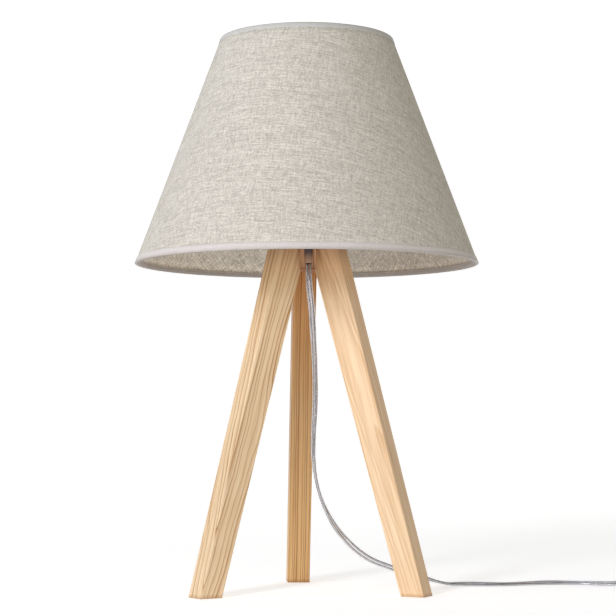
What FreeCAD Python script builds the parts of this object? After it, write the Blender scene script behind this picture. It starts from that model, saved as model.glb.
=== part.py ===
import FreeCAD, Part
import math
import os
import Sketcher
from FreeCAD import Vector, Placement, Rotation

# Tripod table lamp. Millimetres, +Z up, origin on the floor under the centre of the shade.

doc = FreeCAD.newDocument("TripodTableLamp")

# ---------------------------------------------------------------- dimensions
DIMS = [
    ("tripod_turn", 4.5, "turn of the tripod about Z, degrees"),
    ("leg_width", 20.0, "leg, tangential"),
    ("leg_foot_in", 92.0, "inner face of a leg at the floor, radius"),
    ("leg_foot_out", 113.2, "outer face of a leg at the floor, radius"),
    ("leg_top_in", 6.95, "inner face of a leg at its top, radius"),
    ("leg_top_out", 34.0, "outer face of a leg at its top, radius"),
    ("leg_height", 297.0, "top of the legs"),
    ("leg_ease", 0.7, "eased long edges"),
    ("hub_low", 278.0, "underside of the hub block"),
    ("hub_high", 296.0, "top of the hub block"),
    ("hub_face", 18.0, "width of a hub face that a leg sits on"),
    ("dowel_dia", 5.0, "hub dowels"),
    ("dowel_len", 17.0, "hub dowels"),
    ("dowel_z", 287.0, "height of the hub dowels"),
    ("plate_dia", 68.0, "top plate"),
    ("plate_thick", 10.0, "top plate"),
    ("plate_round", 2.0, "edge radius of the top plate"),
    ("plate_bore", 10.4, "hole for the threaded tube"),
    ("nut_recess_dia", 19.0, "recess under the plate"),
    ("nut_recess_deep", 5.0, "recess under the plate"),
    ("cord_hole_r", 21.0, "cord hole, distance from the axis"),
    ("cord_hole_dia", 9.0, "cord hole in the plate"),
    ("screw_dia", 4.0, "leg screws"),
    ("screw_head", 8.0, "leg screws"),
    ("screw_len", 38.0, "leg screws"),
    ("tube_dia", 10.0, "threaded tube M10"),
    ("tube_bore", 7.2, "threaded tube bore"),
    ("tube_low", 297.6, "lower end of the threaded tube"),
    ("tube_high", 317.0, "upper end of the threaded tube"),
    ("nut_flats", 14.0, "lock nut across flats"),
    ("nut_thick", 3.0, "lock nut"),
    ("washer_dia", 17.5, "washer"),
    ("washer_thick", 1.0, "washer"),
    ("cord_width", 5.6, "two-core cord, width"),
    ("gland_low", 283.0, "tip of the cord gland"),
    ("cap_low", 307.0, "underside of the lampholder cap"),
    ("cap_high", 331.0, "top of the lampholder cap"),
    ("cap_dia", 56.0, "lampholder cap flange"),
    ("cap_neck_dia", 43.0, "lampholder cap neck"),
    ("cap_wall", 2.1, "lampholder cap wall"),
    ("skirt_dia", 39.4, "threaded shell of the lampholder"),
    ("skirt_high", 354.0, "top of the threaded shell"),
    ("ring_dia", 54.0, "shade rings"),
    ("fitter_low", 338.05, "underside of the fitter ring"),
    ("fitter_thick", 2.0, "fitter ring"),
    ("fitter_out_dia", 60.0, "fitter ring"),
    ("fitter_bore", 40.6, "fitter ring bore"),
    ("bulb_dia", 60.0, "bulb globe"),
    ("bulb_low", 327.6, "tip of the bulb"),
    ("bulb_len", 108.0, "bulb overall"),
    ("shade_low", 283.5, "lower edge of the shade"),
    ("shade_high", 482.0, "upper edge of the shade"),
    ("shade_low_dia", 300.0, "shade over the lower trim"),
    ("shade_high_dia", 152.4, "shade over the upper trim"),
    ("trim_thick", 0.6, "trim band"),
    ("skin_thick", 0.5, "linen skin"),
    ("backing_thick", 0.8, "stiff backing"),
    ("trim_low_high", 6.0, "height of the lower trim band"),
    ("trim_top_high", 3.6, "height of the upper trim band"),
    ("wire_dia", 3.0, "shade frame wire"),
    ("switch_len", 58.0, "in-line switch"),
    ("switch_wide", 26.0, "in-line switch"),
    ("switch_high", 17.0, "in-line switch"),
    ("switch_x", 332.0, "in-line switch, middle"),
    ("switch_y", 52.0, "in-line switch, middle"),
    ("rocker_travel", 18.0, "rocker, degrees from off to on"),
    ("coil_x", 402.0, "middle of the coil"),
    ("coil_y", 85.8, "middle of the coil"),
    ("coil_out", 36.6, "outer radius of the coil"),
    ("coil_in", 19.6, "inner radius of the coil"),
    ("coil_high", 11.3, "height of the coil"),
    ("plug_back", 352.0, "back of the plug body, where its boot starts"),
    ("boot_len", 20.0, "plug boot"),
    ("plug_y", 119.6, "middle of the plug"),
    ("plug_len", 36.0, "plug body"),
    ("plug_wide", 26.0, "plug body"),
    ("plug_thick", 13.7, "plug body"),
    ("pin_dia", 4.0, "plug pins"),
    ("pin_len", 19.0, "plug pins"),
    ("pin_gap", 19.0, "between the plug pins' axes"),
]
sheet = doc.addObject("Spreadsheet::Sheet", "Dims")
sheet.set("A1", "dimension")
sheet.set("B1", "value")
sheet.set("C1", "note")
for row, (alias, value, note) in enumerate(DIMS, start=2):
    sheet.set("A%d" % row, alias)
    sheet.set("B%d" % row, repr(value))
    sheet.set("C%d" % row, note)
    sheet.setAlias("B%d" % row, alias)
doc.recompute()


class Q:
    """A size with the sheet expression that it comes from."""

    def __init__(self, v, e=None):
        self.v = float(v)
        self.e = e if e is not None else "%.9g" % float(v)

    def _with(self, other, op):
        o = other if isinstance(other, Q) else Q(other)
        v = {
            "+": lambda: self.v + o.v,
            "-": lambda: self.v - o.v,
            "*": lambda: self.v * o.v,
            "/": lambda: self.v / o.v,
        }[op]()
        right = "(%s)" % o.e if o.e.startswith("-") else o.e
        return Q(v, "(%s %s %s)" % (self.e, op, right))

    def __add__(self, o):
        return self._with(o, "+")

    def __sub__(self, o):
        return self._with(o, "-")

    def __mul__(self, o):
        return self._with(o, "*")

    def __truediv__(self, o):
        return self._with(o, "/")

    def __radd__(self, o):
        return Q(o)._with(self, "+")

    def __rsub__(self, o):
        return Q(o)._with(self, "-")

    def __rmul__(self, o):
        return Q(o)._with(self, "*")

    def __neg__(self):
        return Q(0)._with(self, "-")


def d(alias):
    return Q(sheet.get(alias), "Dims." + alias)


def q(x):
    return x if isinstance(x, Q) else Q(x)


NODES = []  # (label, object)


def node(obj, label):
    obj.Label = label
    NODES.append((label, obj))
    return obj


# ---------------------------------------------------------------- helpers
def origin_of(body, role):
    return [f for f in body.Origin.OriginFeatures if f.Role == role][0]


def new_body(name):
    return doc.addObject("PartDesign::Body", name)


def sketch_on(body, name, role, offset=None):
    sk = body.newObject("Sketcher::SketchObject", name)
    sk.AttachmentSupport = [(origin_of(body, role), "")]
    sk.MapMode = "FlatFace"
    if offset is not None:
        offset = q(offset)
        sk.AttachmentOffset = Placement(Vector(0, 0, offset.v), Rotation())
        sk.setExpression("AttachmentOffset.Base.z", offset.e)
    return sk


def pin_point(sk, geo, pos, x, y):
    x, y = q(x), q(y)
    if abs(x.v) < 1e-9:
        sk.addConstraint(Sketcher.Constraint("PointOnObject", geo, pos, -2))
    else:
        n = sk.addConstraint(Sketcher.Constraint("DistanceX", -1, 1, geo, pos, x.v))
        sk.setExpression("Constraints[%d]" % n, x.e)
    if abs(y.v) < 1e-9:
        sk.addConstraint(Sketcher.Constraint("PointOnObject", geo, pos, -1))
    else:
        n = sk.addConstraint(Sketcher.Constraint("DistanceY", -1, 1, geo, pos, y.v))
        sk.setExpression("Constraints[%d]" % n, y.e)


def outline(sk, pts):
    """A closed outline of straight lines through pts."""
    pts = [(q(x), q(y)) for x, y in pts]
    first = sk.GeometryCount
    n = len(pts)
    for i in range(n):
        a, b = pts[i], pts[(i + 1) % n]
        sk.addGeometry(
            Part.LineSegment(Vector(a[0].v, a[1].v, 0), Vector(b[0].v, b[1].v, 0)), False
        )
    for i in range(n):
        sk.addConstraint(
            Sketcher.Constraint("Coincident", first + i, 2, first + (i + 1) % n, 1)
        )
    for i, (x, y) in enumerate(pts):
        pin_point(sk, first + i, 1, x, y)


def disc(sk, x, y, dia):
    g = sk.addGeometry(Part.Circle(Vector(q(x).v, q(y).v, 0), Vector(0, 0, 1), q(dia).v / 2), False)
    n = sk.addConstraint(Sketcher.Constraint("Diameter", g, q(dia).v))
    sk.setExpression("Constraints[%d]" % n, q(dia).e)
    pin_point(sk, g, 3, x, y)


def pad(body, name, sk, length, symmetric=False, reverse=False):
    f = body.newObject("PartDesign::Pad", name)
    f.Profile = sk
    length = q(length)
    f.Length = length.v
    f.setExpression("Length", length.e)
    if symmetric:
        f.SideType = "Symmetric"
    f.Reversed = reverse
    return f


def turned(name, pts, place=None):
    """A body of revolution about Z; pts are (radius, height)."""
    body = new_body(name)
    sk = sketch_on(body, name + "_profile", "XZ_Plane")
    outline(sk, pts)
    f = body.newObject("PartDesign::Revolution", name + "_turn")
    f.Profile = sk
    f.ReferenceAxis = (sk, ["V_Axis"])
    f.Angle = 360
    if place is not None:
        body.Placement = place
    return body


def ease(body, feature, name, size, keep, fillet=True):
    doc.recompute()
    edges = []
    for i, e in enumerate(feature.Shape.Edges, start=1):
        if keep(e):
            edges.append("Edge%d" % i)
    kind = "PartDesign::Fillet" if fillet else "PartDesign::Chamfer"
    f = body.newObject(kind, name)
    f.Base = (feature, edges)
    size = q(size)
    if fillet:
        f.Radius = size.v
        f.setExpression("Radius", size.e)
    else:
        f.Size = size.v
        f.setExpression("Size", size.e)
    body.Tip = f
    return f


def box(name, x0, y0, z0, x1, y1, z1):
    b = doc.addObject("Part::Box", name)
    x0, y0, z0, x1, y1, z1 = map(q, (x0, y0, z0, x1, y1, z1))
    for prop, s in (("Length", x1 - x0), ("Width", y1 - y0), ("Height", z1 - z0)):
        setattr(b, prop, s.v)
        b.setExpression(prop, s.e)
    b.Placement = Placement(Vector(x0.v, y0.v, z0.v), Rotation())
    for ax, s in (("x", x0), ("y", y0), ("z", z0)):
        b.setExpression("Placement.Base." + ax, s.e)
    return b


def rod(name, radius, height, place):
    c = doc.addObject("Part::Cylinder", name)
    radius, height = q(radius), q(height)
    c.Radius = radius.v
    c.setExpression("Radius", radius.e)
    c.Height = height.v
    c.setExpression("Height", height.e)
    c.Placement = place
    return c


def at(x, y, z, rot=None):
    return Placement(Vector(q(x).v, q(y).v, q(z).v), rot or Rotation())


def along(a, b):
    """Placement with its Z from a to b."""
    a, b = Vector(*a), Vector(*b)
    return Placement(a, Rotation(Vector(0, 0, 1), b - a))


def cut(name, base, *tools):
    out = base
    for i, t in enumerate(tools):
        c = doc.addObject("Part::Cut", "%s_cut%d" % (name, i))
        c.Base = out
        c.Tool = t
        out = c
    return out


def fuse(name, *parts):
    f = doc.addObject("Part::MultiFuse", name)
    f.Shapes = list(parts)
    return f


def coded(name, shape, place=None):
    """A feature whose shape is set here, from sizes read from the sheet."""
    f = doc.addObject("Part::Feature", name)
    f.Shape = shape
    if place is not None:
        f.Placement = place
    return f


def group(name, objs):
    """Separate equal solids that share one node."""
    doc.recompute()
    return coded(name, Part.makeCompound([o.Shape.copy() for o in objs]))


TURN = d("tripod_turn").v
LEG_AT = {"leg_back": 90.0, "leg_front_left": 210.0, "leg_front_right": 330.0}


def polar(r, az, z=0.0):
    a = math.radians(az)
    return (r * math.cos(a), r * math.sin(a), z)


def spun(az):
    return Placement(Vector(0, 0, 0), Rotation(Vector(0, 0, 1), az))


CORD_AZ = 270.0 + TURN
cord_x, cord_y, _ = polar(d("cord_hole_r").v, CORD_AZ)
cord_r = d("cord_width") / 2

# ---------------------------------------------------------------- legs
slope_in = (d("leg_top_in") - d("leg_foot_in")) / d("leg_height")
slope_out = (d("leg_top_out") - d("leg_foot_out")) / d("leg_height")
inner_at = lambda z: d("leg_foot_in") + slope_in * z
leg_mid_slope = (slope_in.v + slope_out.v) / 2
mid_r = lambda z: (d("leg_foot_in").v + d("leg_foot_out").v) / 2 + leg_mid_slope * z

# the leg screw's axis, in the leg's own plane
plate_top = d("leg_height") + d("plate_thick")
scr_top = (mid_r(plate_top.v) + 0.6, 0.0, plate_top.v - 1.3)
lean = math.hypot(leg_mid_slope, 1.0)
scr_dir = Vector(-leg_mid_slope / lean, 0, -1 / lean)


def screw_shape():
    """Countersunk wood screw, head up, its axis on Z, head face at 0."""
    r, rh, ln = d("screw_dia").v / 2, d("screw_head").v / 2, d("screw_len").v
    pts = [
        (0, 0), (rh, 0), (rh, -0.4), (r, -0.4 - (rh - r)), (r, -12), (r * 0.72, -13),
        (r * 0.72, -ln + 5), (0, -ln),
    ]
    wire = Part.makePolygon([Vector(x, 0, z) for x, z in pts + [pts[0]]])
    s = Part.Face(wire).revolve(Vector(0, 0, 0), Vector(0, 0, 1), 360)
    slot = Part.makeBox(1.1, 4.6, 1.6, Vector(-0.55, -2.3, -1.6))
    cross = slot.copy()
    cross.rotate(Vector(0, 0, 0), Vector(0, 0, 1), 90)
    return s.cut(slot).cut(cross)


def screw_hole_shape():
    """The hole that the same screw fills, with its countersink."""
    r, rh, ln = d("screw_dia").v / 2, d("screw_head").v / 2, d("screw_len").v
    pts = [
        (0, 3), (rh, 3), (rh, -0.4), (r, -0.4 - (rh - r)), (r, -12), (r * 0.72, -13),
        (r * 0.72, -ln + 5), (0, -ln),
    ]
    wire = Part.makePolygon([Vector(x, 0, z) for x, z in pts + [pts[0]]])
    return Part.Face(wire).revolve(Vector(0, 0, 0), Vector(0, 0, 1), 360)


screw_place = Placement(Vector(*scr_top), Rotation(Vector(0, 0, -1), scr_dir))
dowel_r = inner_at(d("dowel_z"))
dowel_from = dowel_r.v - 7.0


def dowel_tool(name):
    return rod(
        name, d("dowel_dia") / 2, d("dowel_len"),
        Placement(Vector(dowel_from, 0, d("dowel_z").v), Rotation(Vector(0, 0, 1), Vector(1, 0, 0))),
    )


for name, az in LEG_AT.items():
    body = new_body(name + "_blank")
    sk = sketch_on(body, name + "_side", "XZ_Plane")
    outline(sk, [
        (d("leg_foot_in"), 0), (d("leg_foot_out"), 0),
        (d("leg_top_out"), d("leg_height")), (d("leg_top_in"), d("leg_height")),
    ])
    p = pad(body, name + "_pad", sk, d("leg_width"), symmetric=True)
    ease(
        body, p, name + "_ease", d("leg_ease"),
        lambda e: abs(e.Vertexes[0].Z - e.Vertexes[-1].Z) > 100,
    )
    hole = coded(name + "_screw_hole", screw_hole_shape(), screw_place)
    c = cut(name, body, hole, dowel_tool(name + "_dowel_hole"))
    c.Placement = spun(az + TURN)
    c.setExpression("Placement.Rotation.Angle", "%g + Dims.tripod_turn" % az)
    node(c, name)

# ---------------------------------------------------------------- hub block
hub = new_body("hub_blank")


def hexagon(sk, z):
    r, w = inner_at(z), d("hub_face") / 2
    pts = []
    for az in (90, 210, 330):
        ca, sa = math.cos(math.radians(az)), math.sin(math.radians(az))
        for side in (-1, 1):
            pts.append((r * ca - w * (side * sa), r * sa + w * (side * ca)))
    outline(sk, pts)


low = sketch_on(hub, "hub_low_face", "XY_Plane", d("hub_low"))
hexagon(low, d("hub_low"))
high = sketch_on(hub, "hub_high_face", "XY_Plane", d("hub_high"))
hexagon(high, d("hub_high"))
loft = hub.newObject("PartDesign::AdditiveLoft", "hub_loft")
loft.Profile = low
loft.Sections = [high]
loft.Ruled = True
hub_tools = []
for i, az in enumerate((90, 210, 330)):
    t = dowel_tool("hub_dowel_hole%d" % i)
    t.Placement = spun(az).multiply(t.Placement)
    hub_tools.append(t)
# the corner behind the gland stands forward of the two front legs and is notched round them
corner = box("hub_corner_blank", Q(-6.8), Q(-16.5), d("hub_low"), Q(6.8), Q(-8.0), d("hub_high"))
notches = []
for az in (210, 330):
    nt = new_body("hub_notch_%d" % az)
    sk = sketch_on(nt, "hub_notch_side_%d" % az, "XZ_Plane")
    outline(sk, [
        (d("leg_foot_in"), 0), (d("leg_foot_out"), 0),
        (d("leg_top_out"), d("leg_height")), (d("leg_top_in"), d("leg_height")),
    ])
    pad(nt, "hub_notch_pad_%d" % az, sk, d("leg_width") + 0.24, symmetric=True)
    nt.Placement = spun(az)
    notches.append(nt)
hub_whole = fuse("hub_whole", hub, cut("hub_corner", corner, *notches))
hub_cut = cut("hub", hub_whole, *hub_tools)
hub_cut.Placement = spun(TURN)
hub_cut.setExpression("Placement.Rotation.Angle", "Dims.tripod_turn")
node(hub_cut, "hub_block")

dowels = []
for i, az in enumerate((90, 210, 330)):
    t = dowel_tool("dowel%d" % i)
    t.Placement = spun(az + TURN).multiply(t.Placement)
    dowels.append(t)
node(group("hub_dowels_group", dowels), "hub_dowels")

screws = []
for i, az in enumerate((90, 210, 330)):
    screws.append(coded("leg_screw%d" % i, screw_shape(), spun(az + TURN).multiply(screw_place)))
node(group("leg_screws_group", screws), "leg_screws")

# ---------------------------------------------------------------- top plate
zl, zp = d("leg_height"), plate_top
plate = turned("plate_blank", [
    (d("plate_bore") / 2, zl + d("nut_recess_deep")), (d("nut_recess_dia") / 2, zl + d("nut_recess_deep")),
    (d("nut_recess_dia") / 2, zl), (d("plate_dia") / 2, zl), (d("plate_dia") / 2, zp), (d("plate_bore") / 2, zp),
])
ease(
    plate, doc.getObject("plate_blank_turn"), "plate_round", d("plate_round"),
    lambda e: e.Curve.TypeId == "Part::GeomCircle" and abs(e.Curve.Radius - d("plate_dia").v / 2) < 0.01,
)
plate_tools = [rod("plate_cord_hole", d("cord_hole_dia") / 2, d("plate_thick") + 2, at(cord_x, cord_y, zl - 1))]
for i, az in enumerate((90, 210, 330)):
    plate_tools.append(coded("plate_screw_hole%d" % i, screw_hole_shape(), spun(az + TURN).multiply(screw_place)))
node(cut("plate", plate, *plate_tools), "top_plate")

# ---------------------------------------------------------------- threaded tube, nut, washer
rt, rb = d("tube_dia") / 2, d("tube_bore") / 2
node(turned("tube", [(rb, d("tube_low")), (rt, d("tube_low")), (rt, d("tube_high")), (rb, d("tube_high"))]), "threaded_tube")
washer_low = zl + d("nut_recess_deep") - d("washer_thick")
node(turned("washer", [
    (rt + 0.1, washer_low), (d("washer_dia") / 2, washer_low),
    (d("washer_dia") / 2, washer_low + d("washer_thick")), (rt + 0.1, washer_low + d("washer_thick")),
]), "lock_washer")
nut = new_body("nut")
sk = sketch_on(nut, "nut_hex", "XY_Plane", washer_low - d("nut_thick"))
flat = d("nut_flats") / math.sqrt(3)
outline(sk, [(flat * math.cos(math.radians(a)), flat * math.sin(math.radians(a))) for a in range(0, 360, 60)])
disc(sk, 0, 0, d("tube_dia"))
pad(nut, "nut_pad", sk, d("nut_thick"))
node(nut, "lock_nut")

# ---------------------------------------------------------------- cord gland and cord end
gl = d("gland_low")
gland = turned("gland", [
    (cord_r, gl), (cord_r + 0.65, gl), (cord_r + 0.95, gl + 13.2), (5.0, gl + 13.2),
    (5.0, zl), (d("cord_hole_dia") / 2, zl), (d("cord_hole_dia") / 2, zp), (cord_r, zp),
], at(cord_x, cord_y, 0))
node(gland, "cord_gland")
end = turned("cord_end", [
    (0, gl), (cord_r, gl), (cord_r, zp + 5), (0, zp + 5),
], at(cord_x, cord_y, 0))
node(end, "cord_end")

# ---------------------------------------------------------------- lampholder
cl, ch = d("cap_low"), d("cap_high")
co, cn, cw = d("cap_dia") / 2, d("cap_neck_dia") / 2, d("cap_wall")
cap = turned("cap_blank", [
    (rt, cl), (co, cl), (co, cl + 3.5), (co - 1.2, cl + 6), (co - 4.2, cl + 9.5), (cn + 0.4, cl + 13.5),
    (cn, cl + 17), (cn, ch), (cn - cw, ch), (cn - cw, cl + 16.5), (co - 6.3, cl + 10),
    (co - 2.4, cl + 5), (co - 2.4, cl + 2.5), (8.3, cl + 2.5), (8.3, cl + 11), (rt, cl + 11),
])
node(cut("cap", cap, rod("cap_cord_hole", cord_r + 0.2, 4, at(cord_x, cord_y, cl - 1))), "lampholder_cap")

core_low = cl + 11
core = turned("core_blank", [
    (0, core_low), (18.6, core_low), (18.6, core_low + 6.6), (14.0, core_low + 6.6), (14.0, core_low + 8.2), (0, core_low + 8.2),
])
node(core, "lampholder_core")
core_top = core_low + 8.2

# the centre contact: a bent strip that the bulb's tip rests on
cc = new_body("centre_contact_body")
sk = sketch_on(cc, "centre_contact_side", "XZ_Plane")
outline(sk, [
    (-11, core_top), (-4.5, core_top), (-2.5, core_top + 0.55), (3.0, core_top + 0.8),
    (3.0, core_top + 1.35), (-2.7, core_top + 1.05), (-4.8, core_top + 0.5), (-11, core_top + 0.5),
])
pad(cc, "centre_contact_pad", sk, 5, symmetric=True)
node(cc, "centre_contact")

# the side contact: an angle that touches the screw shell's lower edge
sc = new_body("side_contact_body")
sk = sketch_on(sc, "side_contact_side", "YZ_Plane")
outline(sk, [
    (7.0, core_top), (13.9, core_top), (13.9, core_top + 2.2), (13.4, core_top + 2.2), (13.4, core_top + 0.5), (7.0, core_top + 0.5),
])
pad(sc, "side_contact_pad", sk, 5, symmetric=True)
node(sc, "side_contact")


def terminal_screw(name, x, y, top, r=2.0, head=1.4, shank=5.0):
    pts = [(0, -shank), (r * 0.6, -shank), (r * 0.6, -head), (r, -head), (r, 0), (0, 0)]
    wire = Part.makePolygon([Vector(a, 0, b) for a, b in pts + [pts[0]]])
    s = Part.Face(wire).revolve(Vector(0, 0, 0), Vector(0, 0, 1), 360)
    s = s.cut(Part.makeBox(0.7, 2 * r + 1, 1.0, Vector(-0.35, -r - 0.5, -0.6)))
    return coded(name, s, at(x, y, top))


# terminals under the core
ts = [
    terminal_screw("core_screw0", 9, -6, core_low, head=1.6, shank=4.2),
    terminal_screw("core_screw1", -9, -6, core_low, head=1.6, shank=4.2),
]
node(group("terminal_screws_group", ts), "terminal_screws")


def arc_tube(points, radius, label, quiet=False):
    """A tube along straight runs joined by tangent arcs. Each arc's radius is 0.45 of the shorter run over the tangent of half the turn."""
    P = [Vector(*p) for p in points]
    edges, radii, start = [], [], P[0]
    for i in range(1, len(P) - 1):
        a, b = (P[i] - P[i - 1]), (P[i + 1] - P[i])
        turn = a.getAngle(b)
        short = min(a.Length, b.Length)
        back = 0.45 * short
        rad = back / math.tan(turn / 2)
        u, w = Vector(a).normalize(), Vector(b).normalize()
        s, e = P[i] - u * back, P[i] + w * back
        bis = (w - u).normalize()
        mid = P[i] + bis * (rad / math.cos(turn / 2) - rad)
        edges.append(Part.LineSegment(start, s).toShape())
        edges.append(Part.Arc(s, mid, e).toShape())
        radii.append(rad)
        start = e
    edges.append(Part.LineSegment(start, P[-1]).toShape())
    wire = Part.Wire(edges)
    circle = Part.Wire([Part.makeCircle(radius, P[0], P[1] - P[0])])
    tube = wire.makePipeShell([circle], True, False)
    want = math.pi * radius ** 2 * wire.Length
    if not quiet:
        print("%s: length %.1f mm, radii %s" % (label, wire.Length, ["%.0f" % r for r in radii]))
        print("%s: volume %.1f, section times length %.1f" % (label, tube.Volume, want))
        runs = [(P[i + 1] - P[i]).Length for i in range(len(P) - 1)]
        print("%s: runs %s" % (label, ["%.0f" % r for r in runs]))
    return tube, wire.Length


# two lead wires from the cord end to the terminals
wires = []
for i, (sx, tx) in enumerate(((1.3, 9.0), (-1.3, -9.0))):
    t, _ = arc_tube(
        [
            (cord_x + sx, cord_y, zp.v + 5), (cord_x + sx, cord_y, zp.v + 6.6), (cord_x + sx * 1.5, cord_y + 1.6, zp.v + 8.0),
            (cord_x + sx * 2.6 if sx > 0 else cord_x + sx * 2.6 - 1.0, cord_y + 5.0, zp.v + 8.9),
            (tx * 0.85, -9.8, zp.v + 8.8), (tx, -8.6, zp.v + 8.6),
        ],
        0.75, "lead wire", quiet=True,
    )
    wires.append(coded("lead_wire%d" % i, t))
node(group("lead_wires_group", wires), "lead_wires")

# screw shell with rounded ring threads, and the bulb cap that runs in it
PITCH = 3.63


def wave(z0, z1, r_mid, amp, steps=6, zref=330.0):
    n = max(2, int(round((z1 - z0) / PITCH * steps)))
    return [
        (r_mid + amp * math.sin(2 * math.pi * ((z0 + (z1 - z0) * i / n) - zref) / PITCH), z0 + (z1 - z0) * i / n)
        for i in range(n + 1)
    ]


sh0, sh1 = core_top.v + 2.2, 350.0
shell_in = wave(sh0, sh1, 12.95, 0.45)
node(turned("screw_shell_body", [(14.2, sh0), (14.2, sh1)] + shell_in[::-1]), "screw_shell")

so = d("skirt_dia") / 2
sk_low = core_low + 6.6
skirt_pts = [(14.2, sk_low), (19.1, sk_low), (19.1, ch), (so, ch)]
for z in (347.6, 350.0):
    skirt_pts += [(so, z), (so - 0.6, z + 0.6), (so - 0.6, z + 1.1), (so, z + 1.7)]
skirt_pts += [(so, d("skirt_high") - 1.4), (so - 1.2, d("skirt_high")), (14.9, d("skirt_high")), (14.2, d("skirt_high") - 0.8)]
node(turned("skirt_body", skirt_pts), "lampholder_shell")

# shade rings: the lower one carries the fitter ring, the upper one clamps it
fl, ft, ro = d("fitter_low"), d("fitter_thick"), d("ring_dia") / 2
node(turned("ring_lower_body", [
    (so, fl - 5.05), (so + 3.2, fl - 5.05), (ro - 1.5, fl - 3.0), (ro, fl - 2.4), (ro, fl - 0.65), (ro - 0.6, fl - 0.05), (so, fl - 0.05),
]), "shade_ring_lower")
ring_up_low = fl + ft + 0.05
ring_blank = turned("ring_upper_blank", [
    (so + 0.3, ring_up_low), (ro - 0.6, ring_up_low), (ro, ring_up_low + 0.6), (ro, ring_up_low + 3.4),
    (ro - 1.2, ring_up_low + 4.4), (so + 3.4, ring_up_low + 5.2), (so + 2.6, ring_up_low + 6.4), (so + 0.3, ring_up_low + 6.4),
])
# finger notches round its edge
notch = [
    rod("ring_notch%d" % i, 1.6, 6, at(*polar(d("ring_dia").v / 2 + 0.7, i * 22.5, ring_up_low.v - 0.5)))
    for i in range(16)
]
notches = doc.addObject("Part::Compound", "ring_notches")
notches.Links = notch
node(cut("ring_upper", ring_blank, notches), "shade_ring_upper")

# ---------------------------------------------------------------- bulb
bl, bt, br = d("bulb_low"), d("bulb_low") + d("bulb_len"), d("bulb_dia") / 2
node(turned("bulb_tip_body", [(0, bl), (3.2, bl), (4.6, bl + 1.0), (0, bl + 1.0)]), "bulb_tip")
node(turned("bulb_insulator_body", [(0, bl + 1.0), (4.8, bl + 1.0), (9.4, bl + 3.6), (9.4, bl + 4.6), (0, bl + 4.6)]), "bulb_insulator")
b0, b1 = bl.v + 3.4, 348.0
cap_out = wave(b0 + 1.2, b1, 12.6, 0.45)
node(turned("bulb_cap_body", [(9.4, b0), (11.4, b0)] + cap_out + [(12.5, 350.6), (13.1, 351.4), (13.1, 353.4), (12.0, 353.4), (11.4, b1), (11.4, b0 + 1.6), (9.4, b0 + 1.0)]), "bulb_cap")
sphere_z = bt.v - br.v
neck_z = sphere_z - 11.0


def turned_smooth(name, outer, inner):
    """A thin turned shell between two smooth curves, given as (radius, height) points from bottom to top."""
    def curve(pts):
        c = Part.BSplineCurve()
        c.interpolate([Vector(x, 0, z) for x, z in pts])
        return c.toShape()
    o, i = curve(outer), curve(inner)
    edges = [o]
    if (outer[-1][0], outer[-1][1]) != (inner[-1][0], inner[-1][1]):
        edges.append(Part.LineSegment(Vector(outer[-1][0], 0, outer[-1][1]), Vector(inner[-1][0], 0, inner[-1][1])).toShape())
    edges.append(i)
    edges.append(Part.LineSegment(Vector(inner[0][0], 0, inner[0][1]), Vector(outer[0][0], 0, outer[0][1])).toShape())
    wire = Part.Wire(Part.__sortEdges__(edges))
    return coded(name, Part.Face(wire).revolve(Vector(0, 0, 0), Vector(0, 0, 1), 360))


collar_out = [(13.2, 353.4), (14.0, 356.5), (15.8, 362), (18.6, 370), (22.4, 378.5), (26.2, 386.5), (27.9, neck_z)]
collar_in = [(r - 1.3, z) for r, z in collar_out]

node(turned_smooth("bulb_collar_shape", collar_out, collar_in), "bulb_collar")


def dome(radius, z_from, z_mid, n=9):
    a0 = math.asin((z_from - z_mid) / radius)
    return [
        (radius * math.cos(a0 + (math.pi / 2 - a0) * k / n) if k < n else 0.0, z_mid + radius * math.sin(a0 + (math.pi / 2 - a0) * k / n))
        for k in range(n + 1)
    ]


gr = br.v
z_g = neck_z + 0.05
globe_profile = Part.Arc(
    Vector(math.sqrt(gr ** 2 - (z_g - sphere_z) ** 2), 0, z_g), Vector(gr * math.cos(0.6), 0, sphere_z + gr * math.sin(0.6)), Vector(0, 0, sphere_z + gr)
).toShape()
gi = gr - 1.2
globe_inner = Part.Arc(
    Vector(math.sqrt(gi ** 2 - (z_g - sphere_z) ** 2), 0, z_g), Vector(gi * math.cos(0.6), 0, sphere_z + gi * math.sin(0.6)), Vector(0, 0, sphere_z + gi)
).toShape()
gw = Part.Wire(Part.__sortEdges__([
    globe_profile,
    Part.LineSegment(Vector(0, 0, sphere_z + gr), Vector(0, 0, sphere_z + gi)).toShape(),
    globe_inner,
    Part.LineSegment(Vector(math.sqrt(gi ** 2 - (z_g - sphere_z) ** 2), 0, z_g), Vector(math.sqrt(gr ** 2 - (z_g - sphere_z) ** 2), 0, z_g)).toShape(),
]))
node(coded("bulb_globe_shape", Part.Face(gw).revolve(Vector(0, 0, 0), Vector(0, 0, 1), 360)), "bulb_globe")
node(turned("bulb_board_body", [(0, neck_z - 2.1), (26.2, neck_z - 2.1), (26.2, neck_z - 0.5), (0, neck_z - 0.5)]), "bulb_led_board")

# ---------------------------------------------------------------- shade
s0, s1 = d("shade_low"), d("shade_high")
R0, R1 = d("shade_low_dia") / 2, d("shade_high_dia") / 2
tt, st, bt_ = d("trim_thick"), d("skin_thick"), d("backing_thick")
cone = (R1 - R0) / (s1 - s0)  # change of radius per unit of height


def at_z(z, inset):
    """Radius of the cone's outside at height z, less inset."""
    return R0 + cone * (z - s0) - inset


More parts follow.
